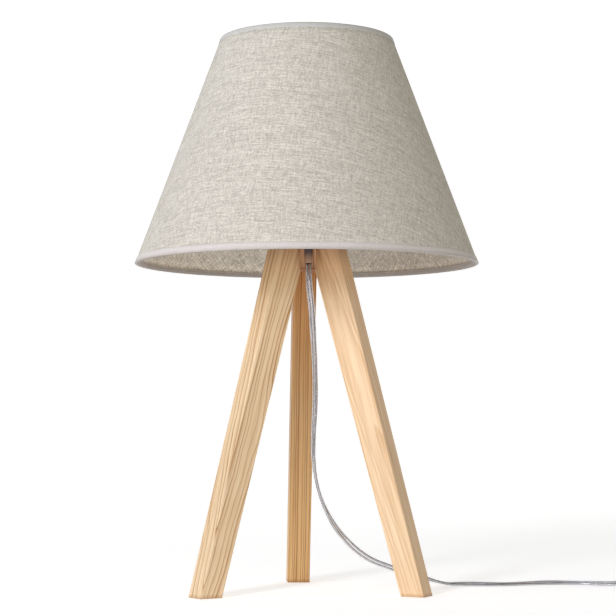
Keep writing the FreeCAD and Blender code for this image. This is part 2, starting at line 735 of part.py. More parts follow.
# the skin and backing stop short of the edges, where the trim folds over them
e0, e1 = s0 + 0.9, s1 - 0.9
node(turned("skin_body", [
    (at_z(e0, tt + st), e0), (at_z(e0, tt), e0), (at_z(e1, tt), e1), (at_z(e1, tt + st), e1),
]), "shade_skin")
node(turned("backing_body", [
    (at_z(e0, tt + st + bt_), e0), (at_z(e0, tt + st), e0), (at_z(e1, tt + st), e1), (at_z(e1, tt + st + bt_), e1),
]), "shade_backing")
wr = d("wire_dia") / 2
low_ring_z, top_ring_z = s0 + 0.7 + wr, s1 - 0.7 - wr
in_face = tt + st + bt_ + 0.1
low_ring_r = at_z(low_ring_z, in_face) - wr * 1.07
top_ring_r = at_z(top_ring_z, in_face) - wr * 1.07
for label, rr, zz in (("shade_bottom_ring", low_ring_r, low_ring_z), ("shade_top_ring", top_ring_r, top_ring_z)):
    tor = doc.addObject("Part::Torus", label + "_wire")
    tor.Radius1 = rr.v
    tor.setExpression("Radius1", rr.e)
    tor.Radius2 = wr.v
    tor.setExpression("Radius2", wr.e)
    tor.Placement = at(0, 0, zz)
    tor.setExpression("Placement.Base.z", zz.e)
    node(tor, label)

# trim bands: a tape folded over the edge, the wire ring inside the fold
th, tp = d("trim_low_high"), d("trim_top_high")
full = tt + st + bt_ + 0.15
ring_in = wr * 2 + 0.15


def trim_pts(z_edge, up, tall):
    """Folded tape round the wire; up is 1 at the lower edge of the shade and -1 at its upper edge."""
    e, s = z_edge, up
    rr = low_or_top(s)
    inside = q(4.4)
    near, far = (wr + 0.1) / math.cos(math.pi / 8), (wr + 0.7) / math.cos(math.pi / 8)

    def around(size, degrees):
        a = math.radians(degrees)
        return (rr + size * math.cos(a), e + (0.7 + wr + size * math.sin(a)) * s)

    return (
        [
            (at_z(e, 0) - 0.9, e), (at_z(e + 0.5 * s, 0) - 0.1, e + 0.5 * s), (at_z(e + tall * s, 0), e + tall * s),
            (at_z(e + tall * s, tt), e + tall * s), (at_z(e + 0.85 * s, tt), e + 0.85 * s),
            (at_z(e + 0.6 * s, full), e + 0.6 * s),
        ]
        + [around(near, t) for t in (247.5, 202.5, 157.5, 112.5)]
        + [(at_z(e + inside * s, in_face), e + inside * s), (at_z(e + (inside + 0.3) * s, in_face + 0.6), e + (inside + 0.1) * s)]
        + [around(far, t) for t in (112.5, 157.5, 202.5, 247.5)]
    )


def low_or_top(s):
    return low_ring_r if s > 0 else top_ring_r


trim_low = turned("trim_low_body", trim_pts(s0, 1, th))
node(turned("trim_top_body", trim_pts(s1, -1, tp + 1.0)), "shade_top_trim")

# spider: fitter ring and three arms down to the bottom ring
fo, fb = d("fitter_out_dia") / 2, d("fitter_bore") / 2
fitter = turned("fitter_body", [(fb, fl), (fo, fl), (fo, fl + ft), (fb, fl + ft)])
arms, slits = [], []
for i, az in enumerate((90, 210, 330)):
    a = polar(fo.v - 1.4, az + TURN, fl.v + ft.v / 2)
    b = polar(low_ring_r.v - 0.2, az + TURN, low_ring_z.v + 0.7)
    ln = (Vector(*b) - Vector(*a)).Length
    arms.append(rod("spider_arm%d" % i, wr - 0.15, ln, along(a, b)))
    slits.append(rod("trim_slit%d" % i, wr + 0.15, 16, along(tuple(Vector(*a) + (Vector(*b) - Vector(*a)) * (1 - 13 / ln)), b)))
# the arms start outside the rings that clamp the fitter, and end on the wire
inner_clear = turned("arm_clearance", [(0, fl - 3), (fo - 1.9, fl - 3), (fo - 1.9, fl + 6), (0, fl + 6)])
arm_set = doc.addObject("Part::Compound", "spider_arms")
arm_set.Links = arms
arm_cut = cut("arm_clear", arm_set, inner_clear, dict(NODES)["shade_bottom_ring"])
node(fuse("spider_fuse", fitter, arm_cut), "shade_spider")
# the folded tape is slit where the arms pass
slit_set = doc.addObject("Part::Compound", "trim_slits")
slit_set.Links = slits
node(cut("trim_low", trim_low, slit_set), "shade_bottom_trim")

# ---------------------------------------------------------------- in-line switch
sx, sy = d("switch_x"), d("switch_y")
sl, sw, shh = d("switch_len"), d("switch_wide"), d("switch_high")
split = 8.0  # height of the line between base and cover
PIVOT_Z = 12.6


def switch_outline(sk, inset):
    l2, w2 = sl / 2 - inset, sw / 2 - inset
    n = 5.5  # the ends narrow towards the cord
    pts = []
    for sxn, syn in ((1, -1), (1, 1), (-1, 1), (-1, -1)):
        a = (sxn * l2, syn * (w2 - n))
        b = (sxn * (l2 - 9), syn * w2)
        pts += [a, b] if sxn * syn > 0 else [b, a]
    outline(sk, pts)


def sw_place():
    return at(sx, sy, 0)


base_blank = new_body("switch_base_blank")
sk = sketch_on(base_blank, "switch_base_plan", "XY_Plane")
switch_outline(sk, Q(0))
p = pad(base_blank, "switch_base_pad", sk, Q(split))
ease(base_blank, p, "switch_base_round", Q(1.6), lambda e: all(abs(v.Z) < 1e-6 for v in e.Vertexes))
sk = sketch_on(base_blank, "switch_base_hollow", "XY_Plane", Q(2.0))
switch_outline(sk, Q(2.0))
pk = base_blank.newObject("PartDesign::Pocket", "switch_base_pocket")
pk.Profile = sk
pk.Length = 20
pk.Reversed = True
base_blank.Placement = sw_place()
doc.recompute()
print("switch base: full %.0f, hollow %.0f" % (p.Shape.Volume, base_blank.Shape.Volume))

cover_blank = new_body("switch_cover_blank")
sk = sketch_on(cover_blank, "switch_cover_plan", "XY_Plane", Q(split))
switch_outline(sk, Q(0))
p = pad(cover_blank, "switch_cover_pad", sk, shh - split)
ease(cover_blank, p, "switch_cover_round", Q(2.2), lambda e: all(abs(v.Z - shh.v) < 1e-6 for v in e.Vertexes))
sk = sketch_on(cover_blank, "switch_cover_hollow", "XY_Plane", Q(split))
switch_outline(sk, Q(2.0))
pk2 = cover_blank.newObject("PartDesign::Pocket", "switch_cover_pocket")
pk2.Profile = sk
pk2.Length = 7.0
pk2.Reversed = True
cover_blank.Placement = sw_place()
doc.recompute()
print("switch cover: full %.0f, hollow %.0f" % (p.Shape.Volume, cover_blank.Shape.Volume))

# cord mouths at both ends, in both halves
mouths = []
for i, sgn in enumerate((1, -1)):
    mouths.append(rod(
        "switch_mouth%d" % i, cord_r, 8,
        Placement(Vector(sx.v + sgn * (sl.v / 2 + 1), sy.v, split), Rotation(Vector(0, 0, 1), Vector(-sgn, 0, 0))),
    ))
mouth_set = doc.addObject("Part::Compound", "switch_mouths")
mouth_set.Links = mouths
# screw holes from below
SCREW_XY = [(sx.v + 19.5, sy.v + 6.6), (sx.v - 19.5, sy.v - 6.6)]
posts, post_holes, sw_screws = [], [], []
for i, (x, y) in enumerate(SCREW_XY):
    posts.append(rod("switch_post%d" % i, 2.6, split - 1.0, at(x, y, 1.0)))
    post_holes.append(rod("switch_post_hole%d" % i, 1.2, 20, at(x, y, -1.0)))
    post_holes.append(rod("switch_head_hole%d" % i, 2.1, 2.3, at(x, y, -1.0)))
base_full = fuse("switch_base_full", base_blank, *posts)
hole_set = doc.addObject("Part::Compound", "switch_holes")
hole_set.Links = post_holes
node(cut("switch_base", base_full, mouth_set, hole_set), "switch_base")

cposts, choles = [], []
for i, (x, y) in enumerate(SCREW_XY):
    cposts.append(rod("cover_post%d" % i, 2.6, 7.6, at(x, y, split)))
    choles.append(rod("cover_hole%d" % i, 1.2, 6.0, at(x, y, split - 0.1)))
cover_full = fuse("switch_cover_full", cover_blank, *cposts)
cmouths = doc.addObject("Part::Compound", "cover_mouths")
cmouths.Links = [rod(
    "cover_mouth%d" % i, cord_r, 8,
    Placement(Vector(sx.v + sgn * (sl.v / 2 + 1), sy.v, split), Rotation(Vector(0, 0, 1), Vector(-sgn, 0, 0))),
) for i, sgn in enumerate((1, -1))]
cset = doc.addObject("Part::Compound", "cover_holes")
cset.Links = choles
window = box("switch_window", sx - 8.0, sy - 5.2, Q(14.0), sx + 8.0, sy + 5.2, Q(20.0))
# two ears under the window carry the rocker's pivot
ears = [
    box("switch_ear0", sx - 2.6, sy + 5.4, Q(10.4), sx + 2.6, sy + 7.2, Q(15.5)),
    box("switch_ear1", sx - 2.6, sy - 7.2, Q(10.4), sx + 2.6, sy - 5.4, Q(15.5)),
]
cover_full2 = fuse("switch_cover_ears", cover_full, *ears)
pivot_hole = rod("switch_pivot_hole", 1.3, 16, Placement(Vector(sx.v, sy.v - 8, PIVOT_Z), Rotation(Vector(0, 0, 1), Vector(0, 1, 0))))
node(cut("switch_cover", cover_full2, cmouths, cset, window, pivot_hole), "switch_cover")

for i, (x, y) in enumerate(SCREW_XY):
    sw_screws.append(terminal_screw("switch_screw%d" % i, 0, 0, 0, r=2.0, head=1.3, shank=11.0))
    sw_screws[-1].Placement = Placement(Vector(x, y, 0.0), Rotation(Vector(1, 0, 0), 180))
node(group("switch_screws_group", sw_screws), "switch_screws")

# rocker: two faces that meet over the pivot, at rest tilted to off
rk = new_body("rocker_body")
sk = sketch_on(rk, "rocker_side", "XZ_Plane")
half = 7.2
tilt = math.radians(d("rocker_travel").v / 2)
outline(sk, [
    (-half + 1.4, -3.4), (half - 1.4, -3.4), (half, 3.2), (half - 0.3, 5.2), (0, 4.0), (-half + 0.3, 5.2), (-half, 3.2),
])
p = pad(rk, "rocker_pad", sk, 9.8, symmetric=True)
ease(rk, p, "rocker_round", Q(0.5), lambda e: all(v.Z > 3.0 for v in e.Vertexes) and abs(e.Vertexes[0].Y - e.Vertexes[-1].Y) < 1e-6)
foot = new_body("rocker_foot_body")
sk = sketch_on(foot, "rocker_foot_side", "XZ_Plane")
outline(sk, [(-1.6, -3.0), (-0.9, -6.2), (-0.35, -6.85), (0.35, -6.85), (0.9, -6.2), (1.6, -3.0)])
pad(foot, "rocker_foot_pad", sk, 3.6, symmetric=True)
stub = rod("rocker_stub", 1.25, 14.2, Placement(Vector(0, -7.1, 0), Rotation(Vector(0, 0, 1), Vector(0, 1, 0))))
rocker = fuse("rocker_fuse", rk, foot, stub)
rocker.Placement = Placement(Vector(sx.v, sy.v, PIVOT_Z), Rotation(Vector(0, 1, 0), -d("rocker_travel").v / 2))
node(rocker, "switch_rocker")

# contacts on the base: one under the lever's end, one that carries the lever's middle
node(fuse(
    "contact_in_fuse",
    box("contact_a", sx - 21.0, sy - 2.5, Q(2.0), sx - 4.9, sy + 2.5, Q(2.8)),
    box("contact_a_up", sx - 7.6, sy - 2.5, Q(2.0), sx - 4.9, sy + 2.5, Q(4.55)),
), "switch_contact_in")
node(fuse(
    "contact_out_fuse",
    box("contact_b", sx - 0.5, sy - 2.5, Q(2.0), sx + 21.0, sy + 2.5, Q(2.8)),
    box("contact_b_up", sx - 0.5, sy - 2.5, Q(2.0), sx + 0.5, sy + 2.5, Q(4.86)),
), "switch_contact_out")
# the lever rocks on the middle contact on a round bead; the rocker's foot pushes it over
LEVER_Z = 5.25
blade = new_body("lever_body")
sk = sketch_on(blade, "lever_side", "XZ_Plane")
outline(sk, [(-7.0, 0.3), (0, 0), (7.0, 0.3), (7.0, 0.7), (0, 0.4), (-7.0, 0.7)])
pad(blade, "lever_pad", sk, 4, symmetric=True)
bead = rod("lever_bead", 0.35, 4.0, Placement(Vector(0, -2, 0), Rotation(Vector(0, 0, 1), Vector(0, 1, 0))))
lever = fuse("lever_fuse", blade, bead)
lever.Placement = Placement(Vector(sx.v, sy.v, LEVER_Z), Rotation(Vector(0, 1, 0), 6.0))
node(lever, "switch_lever")
# wires inside: one to each contact, one straight past them
inner_wires = []
for i, pts in enumerate((
    [(-22.0, -1.3, 8.0), (-20.0, -1.35, 7.9), (-17.6, -1.5, 5.6), (-15.4, -1.5, 3.6), (-12.6, -1.5, 3.56)],
    [(22.0, -1.3, 8.0), (20.0, -1.35, 7.9), (17.6, -1.5, 5.6), (15.4, -1.5, 3.6), (12.6, -1.5, 3.56)],
    [(-22.0, 1.3, 8.0), (-19.0, 1.5, 7.7), (-14.5, 4.2, 6.0), (-9.0, 8.0, 4.2), (0.0, 8.9, 3.6), (9.0, 8.0, 4.2), (14.5, 4.2, 6.0), (19.0, 1.5, 7.7), (22.0, 1.3, 8.0)],
)):
    t, _ = arc_tube([(sx.v + x, sy.v + y, z) for x, y, z in pts], 0.75, "switch wire", quiet=True)
    inner_wires.append(coded("switch_wire%d" % i, t))
node(group("switch_wires_group", inner_wires), "switch_wires")

# ---------------------------------------------------------------- plug
pb, py, pl = d("plug_back"), d("plug_y"), d("plug_len")
pw, pt = d("plug_wide"), d("plug_thick")
pg = new_body("plug_blank")
sk = sketch_on(pg, "plug_plan", "XY_Plane", Q(0))
outline(sk, [
    (0, 4.6), (0, -4.6), (-8, -6.2), (-20, -(pw / 2) + 1.6), (-26, -(pw / 2)), (-(pl), -(pw / 2)),
    (-(pl), pw / 2), (-26, pw / 2), (-20, pw / 2 - 1.6), (-8, 6.2),
])
p = pad(pg, "plug_pad", sk, pt)
ease(pg, p, "plug_round", Q(2.6), lambda e: (abs(e.Vertexes[0].Z - e.Vertexes[-1].Z) < 1e-6) and not all(abs(v.X + pl.v) < 1e-6 for v in e.Vertexes) and not all(abs(v.X) < 1e-6 for v in e.Vertexes))
pg.Placement = at(pb, py, 0)
PLUG_Z = pt.v / 2
pin_sockets, pins, sleeves = [], [], []
for i, sgn in enumerate((1, -1)):
    y = py.v + sgn * d("pin_gap").v / 2
    face_x = pb.v - pl.v
    turn_x = Rotation(Vector(0, 0, 1), Vector(-1, 0, 0))
    pin_sockets.append(rod("pin_socket%d" % i, d("pin_dia") / 2, 10, Placement(Vector(face_x + 10, y, PLUG_Z), turn_x)))
    metal = rod("pin%d" % i, d("pin_dia") / 2 - 0.35, d("pin_len") + 10 - 1.5, Placement(Vector(face_x + 10, y, PLUG_Z), turn_x))
    nose = rod("pin_nose%d" % i, d("pin_dia") / 2, 9, Placement(Vector(face_x - 10, y, PLUG_Z), turn_x))
    round_end = doc.addObject("Part::Sphere", "pin_end%d" % i)
    round_end.Radius = d("pin_dia").v / 2
    round_end.setExpression("Radius", "Dims.pin_dia / 2")
    round_end.Placement = at(face_x - 10 - 7, y, PLUG_Z)
    nose.Height = 7
    pins.append(fuse("pin_fuse%d" % i, metal, nose, round_end))
    slv = rod("pin_sleeve_out%d" % i, d("pin_dia") / 2, 20, Placement(Vector(face_x + 10, y, PLUG_Z), turn_x))
    bore = rod("pin_sleeve_in%d" % i, d("pin_dia") / 2 - 0.35, 22, Placement(Vector(face_x + 11, y, PLUG_Z), turn_x))
    sleeves.append(cut("pin_sleeve%d" % i, slv, bore))
socket_set = doc.addObject("Part::Compound", "pin_sockets")
socket_set.Links = pin_sockets
bl_ = d("boot_len")
boot_pts = [(0, -1.0), (4.55, -1.0), (4.55, 2.0)]
for k in range(4):
    z0 = 3.0 + 4.0 * k
    r0 = 4.45 - 0.058 * z0
    boot_pts += [(r0, z0), (r0 - 0.7, z0 + 0.5), (r0 - 0.75, z0 + 1.3), (r0 - 0.1, z0 + 1.8)]
boot_pts += [(3.35, bl_), (0, bl_)]
boot = turned("plug_boot", boot_pts, Placement(Vector(pb.v, py.v, PLUG_Z), Rotation(Vector(0, 0, 1), Vector(1, 0, 0))))
plug_full = fuse("plug_with_boot", pg, boot)
node(cut("plug_body", plug_full, socket_set), "plug_body")
node(group("plug_pins_group", pins), "plug_pins")
node(group("plug_sleeves_group", sleeves), "plug_pin_sleeves")

# ---------------------------------------------------------------- cord
ROUTE_LAMP = [
    (cord_x, cord_y, 283.0), (cord_x, cord_y, 266.0), (4.4, -19.4, 245.6), (6.0, -18.6, 217.5), (7.2, -17.9, 191.5),
    (7.6, -17.8, 164.9), (6.0, -18.5, 139.2), (5.6, -18.8, 112.4), (9.8, -16.5, 87.1), (20.0, -11.1, 62.7),
    (34.8, -3.2, 42.8), (53.8, 7.0, 27.1), (75.6, 18.6, 18.6), (98.0, 30.6, 10.6), (120.4, 43.1, 4.2),
    (143.6, 52.6, 2.8), (171.9, 50.8, 2.8), (195.6, 59.8, 2.8), (221.8, 68.2, 2.8), (247.4, 64.6, 2.8),
    (271.0, 52.8, 3.6), (294.5, 52.0, 8.0), (310.0, 52.0, 8.0),
]
ROUTE_SWITCH = [(354.0, 52.0, 8.0), (366.5, 52.0, 8.0), (378.0, 52.0, 2.8), (390.0, 52.0, 2.8)]
ROUTE_TAIL = [(394.0, 119.6, 8.5), (386.5, 119.6, 8.5), (379.0, 119.6, 6.85), (372.0, 119.6, 6.85)]
cord_total = 0.0
for label, route in (("cord_to_switch", ROUTE_LAMP), ("cord_to_coil", ROUTE_SWITCH), ("cord_to_plug", ROUTE_TAIL)):
    t, ln = arc_tube(route, cord_r.v, label)
    cord_total += ln
    node(coded(label + "_tube", t), label)
ci, cout, chh = d("coil_in"), d("coil_out"), d("coil_high")
coil = turned("cord_coil_body", [
    (ci + 2.4, 0), (cout - 2.4, 0), (cout - 0.7, 0.8), (cout, 2.6), (cout, chh - 2.6), (cout - 0.7, chh - 0.8),
    (cout - 2.4, chh), (ci + 2.4, chh), (ci + 0.7, chh - 0.8), (ci, chh - 2.6), (ci, 2.6), (ci + 0.7, 0.8),
], at(d("coil_x"), d("coil_y"), 0))
node(coil, "cord_coil")
turns = 2 * math.pi * 2 * (33.8 + 28.1 + 22.4) + math.pi * 33.8
print("cord: %.0f mm as tubes, %.0f mm in the coil, %.0f mm between the ends in the switch, %.0f mm in all" % (
    cord_total, turns, sl.v - 14, cord_total + turns + sl.v - 14))

# ---------------------------------------------------------------- checks and files
doc.recompute()
bad = []
for o in doc.Objects:
    if any(s in o.State for s in ("Invalid", "Error")):
        bad.append("%s: %s" % (o.Name, o.State))
labels = [n for n, _ in NODES]
if len(set(labels)) != len(labels):
    bad.append("two nodes share a name")
for label, obj in NODES:
    s = obj.Shape
    if s.isNull() or not s.isValid() or not s.Solids or s.Volume <= 0:
        bad.append("%s: its shape isn't a valid solid" % label)
if bad:
    raise RuntimeError("; ".join(bad))
os.makedirs("parts", exist_ok=True)
for label, obj in NODES:
    obj.Shape.exportStep("parts/%s.step" % label)
bb = Part.makeCompound([o.Shape for _, o in NODES]).BoundBox
print("%d nodes, box %.1f %.1f %.1f to %.1f %.1f %.1f" % (len(NODES), bb.XMin, bb.YMin, bb.ZMin, bb.XMax, bb.YMax, bb.ZMax))
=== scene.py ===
import math
import random

import bmesh
import bpy
from mathutils import Euler, Matrix, Vector


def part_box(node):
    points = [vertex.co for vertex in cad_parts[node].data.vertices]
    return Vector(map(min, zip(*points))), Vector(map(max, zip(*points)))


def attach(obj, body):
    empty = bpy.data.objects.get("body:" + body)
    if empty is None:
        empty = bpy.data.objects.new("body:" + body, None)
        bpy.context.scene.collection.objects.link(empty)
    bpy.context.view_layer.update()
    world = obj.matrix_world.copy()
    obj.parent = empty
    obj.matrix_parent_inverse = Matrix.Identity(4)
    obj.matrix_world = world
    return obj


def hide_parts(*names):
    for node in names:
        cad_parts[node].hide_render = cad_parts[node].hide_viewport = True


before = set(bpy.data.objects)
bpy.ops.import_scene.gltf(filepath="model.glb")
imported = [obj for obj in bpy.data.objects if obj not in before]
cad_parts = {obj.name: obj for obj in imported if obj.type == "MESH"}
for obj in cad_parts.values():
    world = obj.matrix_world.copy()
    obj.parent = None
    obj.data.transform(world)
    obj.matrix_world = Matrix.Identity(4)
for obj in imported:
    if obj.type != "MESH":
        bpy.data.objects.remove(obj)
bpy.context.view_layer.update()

MM = 0.001
TURN = 4.5
random.seed(7)

# ------------------------------------------------------------------ camera
scene = bpy.context.scene
cam_data = bpy.data.cameras.new("camera")
cam_data.sensor_width = 36.0
cam_data.lens = 36.0 * 1841.25 / 616.0
cam_data.clip_start, cam_data.clip_end = 0.05, 30.0
cam = bpy.data.objects.new("camera", cam_data)
scene.collection.objects.link(cam)
cam.location = (0.0, -1.60465, 0.14365)
cam.rotation_euler = Euler((math.radians(90) + 0.0635, 0.0, -0.00076), "XYZ")
scene.camera = cam

# ------------------------------------------------------------------ small helpers
def new_object(name, mesh):
    o = bpy.data.objects.new(name, mesh)
    scene.collection.objects.link(o)
    return o


def mesh_from(name, verts, faces, smooth=True):
    me = bpy.data.meshes.new(name)
    me.from_pydata(verts, [], faces)
    me.validate()
    if smooth:
        me.polygons.foreach_set("use_smooth", [True] * len(me.polygons))
    me.update()
    return me


def polar(r, az, z=0.0):
    a = math.radians(az)
    return Vector((r * math.cos(a), r * math.sin(a), z))


def nurbs_line(name, points_mm, per_span=12):
    """Points along the smooth line of a cord, read from its NURBS spline."""
    cu = bpy.data.curves.new(name, "CURVE")
    cu.dimensions = "3D"
    sp = cu.splines.new("NURBS")
    sp.points.add(len(points_mm) - 1)
    for p, c in zip(sp.points, points_mm):
        p.co = (c[0] * MM, c[1] * MM, c[2] * MM, 1.0)
    sp.order_u = 3
    sp.use_endpoint_u = True
    sp.resolution_u = per_span
    o = bpy.data.objects.new(name, cu)
    scene.collection.objects.link(o)
    bpy.context.view_layer.update()
    me = bpy.data.meshes.new_from_object(o)
    pts = [Vector(v.co) for v in me.vertices]
    bpy.data.objects.remove(o)
    bpy.data.curves.remove(cu)
    bpy.data.meshes.remove(me)
    keep = [pts[0]]
    for p in pts[1:]:
        if (p - keep[-1]).length > 1e-5:
            keep.append(p)
    return keep


def lengths(pts):
    s = [0.0]
    for a, b in zip(pts, pts[1:]):
        s.append(s[-1] + (b - a).length)
    return s


def ramp_value(table, s):
    """Smoothly joined values of a table of (s, value)."""
    if s <= table[0][0]:
        return table[0][1]
    for (s0, v0), (s1, v1) in zip(table, table[1:]):
        if s <= s1:
            t = (s - s0) / (s1 - s0)
            t = t * t * (3 - 2 * t)
            return v0 + (v1 - v0) * t
    return table[-1][1]


def frames_along(pts, first_side):
    """Tangent and side directions along a line, carried without twist from its far end."""
    n = len(pts)
    tangents = []
    for i in range(n):
        a, b = pts[max(0, i - 1)], pts[min(n - 1, i + 1)]
        tangents.append((b - a).normalized())
    sides = [None] * n
    side = Vector(first_side)
    for i in range(n - 1, -1, -1):
        t = tangents[i]
        side = (side - t * side.dot(t)).normalized()
        sides[i] = side.copy()
    return tangents, sides


STRAND = 1.4 * MM  # radius of each half of the twin cord


def twin_mesh(name, pts, twist, ring, last_side, on_floor=False):
    """A twin cord: two round halves side by side with a web between them, turned about the line by twist(s) degrees.
    ring is the outline of the section, as (across, up) pairs in metres for angle 0."""
    tangents, sides = frames_along(pts, last_side)
    s = lengths(pts)
    verts, faces = [], []
    m = len(ring)
    for i, (p, t, w) in enumerate(zip(pts, tangents, sides)):
        up = t.cross(w).normalized()
        a = math.radians(ramp_value(twist, s[i]))
        wide = w * math.cos(a) + up * math.sin(a)
        thin = t.cross(wide).normalized()
        lift = 0.0
        if on_floor:
            # the line eases down until the lowest edge of the section lies on the floor
            low = STRAND + STRAND * abs(wide.z) + 0.00005
            if p.z < 0.008:
                lift = low + max(0.0, p.z - 0.0028) * (0.008 - low) / 0.0052 - p.z
        for u, v in ring:
            q = p + wide * u + thin * v
            verts.append((q.x, q.y, q.z + lift))
    for i in range(len(pts) - 1):
        for j in range(m):
            a, b = i * m + j, i * m + (j + 1) % m
            faces.append((a, b, b + m, a + m))
    faces.append(tuple(range(m - 1, -1, -1)))
    last = (len(pts) - 1) * m
    faces.append(tuple(range(last, last + m)))
    return mesh_from(name, verts, faces)


def twin_outline(n=12):
    """Section of the sheath: two circles with a shallow groove between."""
    pts = []
    r = STRAND
    for k in range(n + 1):  # right half, from lower groove round to upper groove
        a = math.radians(-140 + 280 * k / n)
        pts.append((r + r * math.cos(a), r * math.sin(a)))
    for k in range(n + 1):
        a = math.radians(40 + 280 * k / n)
        pts.append((-r + r * math.cos(a), r * math.sin(a)))
    return pts


def core_outline(side, n=10, r=0.66 * MM):
    return [(side * STRAND + r * math.cos(2 * math.pi * k / n), r * math.sin(2 * math.pi * k / n)) for k in range(n)]


# ------------------------------------------------------------------ cords
ROUTE_LAMP = [
    (1.6477, -20.9353, 283.0), (1.6477, -20.9353, 266.0), (4.4, -19.4, 245.6), (6.0, -18.6, 217.5), (7.2, -17.9, 191.5),
    (7.6, -17.8, 164.9), (6.0, -18.5, 139.2), (5.6, -18.8, 112.4), (9.8, -16.5, 87.1), (20.0, -11.1, 62.7),
    (34.8, -3.2, 42.8), (53.8, 7.0, 27.1), (75.6, 18.6, 18.6), (98.0, 30.6, 10.6), (120.4, 43.1, 4.2),
    (143.6, 52.6, 2.8), (171.9, 50.8, 2.8), (195.6, 59.8, 2.8), (221.8, 68.2, 2.8), (247.4, 64.6, 2.8),
    (271.0, 53.6, 2.8), (285.0, 52.0, 4.2), (298.0, 52.0, 8.0), (310.0, 52.0, 8.0),
]


def coil_route():
    """Turns of the put-away cord: three layers wide, two high, wound outside to inside and back."""
    cx, cy = 402.0, 85.8
    radii = [33.8, 28.1, 22.4, 22.4, 28.1, 33.8]
    heights = [2.8, 2.8, 2.8, 8.5, 8.5, 8.5]
    per = 16
    grow = 1.0 / 0.981
    out = []
    total = int(6.5 * per)
    for k in range(1, total):
        turn = k / per
        i = min(int(turn), 5)
        f = turn - i
        r, z = radii[i], heights[i]
        if i < 5 and f > 0.72:
            t = (f - 0.72) / 0.28
            t = t * t * (3 - 2 * t)
            r += (radii[i + 1] - radii[i]) * t
            z += (heights[i + 1] - heights[i]) * t
        a = math.radians(-90 + 360 * turn)
        out.append((cx + r * grow * math.cos(a), cy + r * grow * math.sin(a), z))
    return out


ROUTE_REST = (
    [(354.0, 52.0, 8.0), (366.5, 52.0, 8.0), (378.0, 52.0, 2.8), (390.0, 52.0, 2.8), (398.0, 51.6, 2.8)]
    + coil_route()
    + [(398.0, 119.9, 8.5), (394.0, 119.6, 8.5), (386.5, 119.6, 8.5), (379.0, 119.6, 6.85), (371.0, 119.6, 6.85)]
)

line_a = nurbs_line("route_lamp", ROUTE_LAMP)
line_b = nurbs_line("route_rest", ROUTE_REST, per_span=6)
len_a, len_b = lengths(line_a)[-1], lengths(line_b)[-1]

# angle of the flat section along the cord: 0 lies flat on the floor and shows its wide side to the front where it hangs
TWIST_A = [
    (0.000, 112), (0.030, 104), (0.050, 124), (0.072, 156), (0.095, 168), (0.125, 166), (0.155, 176), (0.185, 204), (0.205, 214),
    (0.232, 242), (0.262, 284), (0.290, 298), (0.320, 318), (0.352, 356), (0.385, 386), (0.420, 372), (0.455, 388),
    (0.480, 382), (0.515, 388), (0.538, 360), (0.551, 360),
]
TWIST_B = [(0.0, 0.0), (0.04, 0.0), (0.30, 170.0), (0.55, 330.0), (0.80, 520.0), (1.05, 650.0), (len_b - 0.04, 720.0), (len_b, 720.0)]

outline = twin_outline()
side_a = Vector((0, 1, 0))
cord_a = new_object("cord_to_switch_sheath", twin_mesh("cord_to_switch_sheath", line_a, TWIST_A, outline, side_a, True))
cord_b = new_object("cord_rest_sheath", twin_mesh("cord_rest_sheath", line_b, TWIST_B, outline, Vector((0, 1, 0))))
cores = []
for label, line, twist, floor_side in (("cord_to_switch_core", line_a, TWIST_A, True), ("cord_rest_core", line_b, TWIST_B, False)):
    for k, side in enumerate((-1, 1)):
        me = twin_mesh("%s_%d" % (label, k), line, twist, core_outline(side), Vector((0, 1, 0)), floor_side)
        cores.append(new_object("%s_%d" % (label, k), me))

for o in (cord_a, cord_b, *cores):
    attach(o, "frame")
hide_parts("cord_to_switch")
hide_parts("cord_to_coil", "cord_coil", "cord_to_plug")


# ------------------------------------------------------------------ materials
def srgb(r, g, b):
    def f(c):
        c /= 255.0
        return c / 12.92 if c <= 0.04045 else ((c + 0.055) / 1.055) ** 2.4
    return (f(r), f(g), f(b), 1.0)


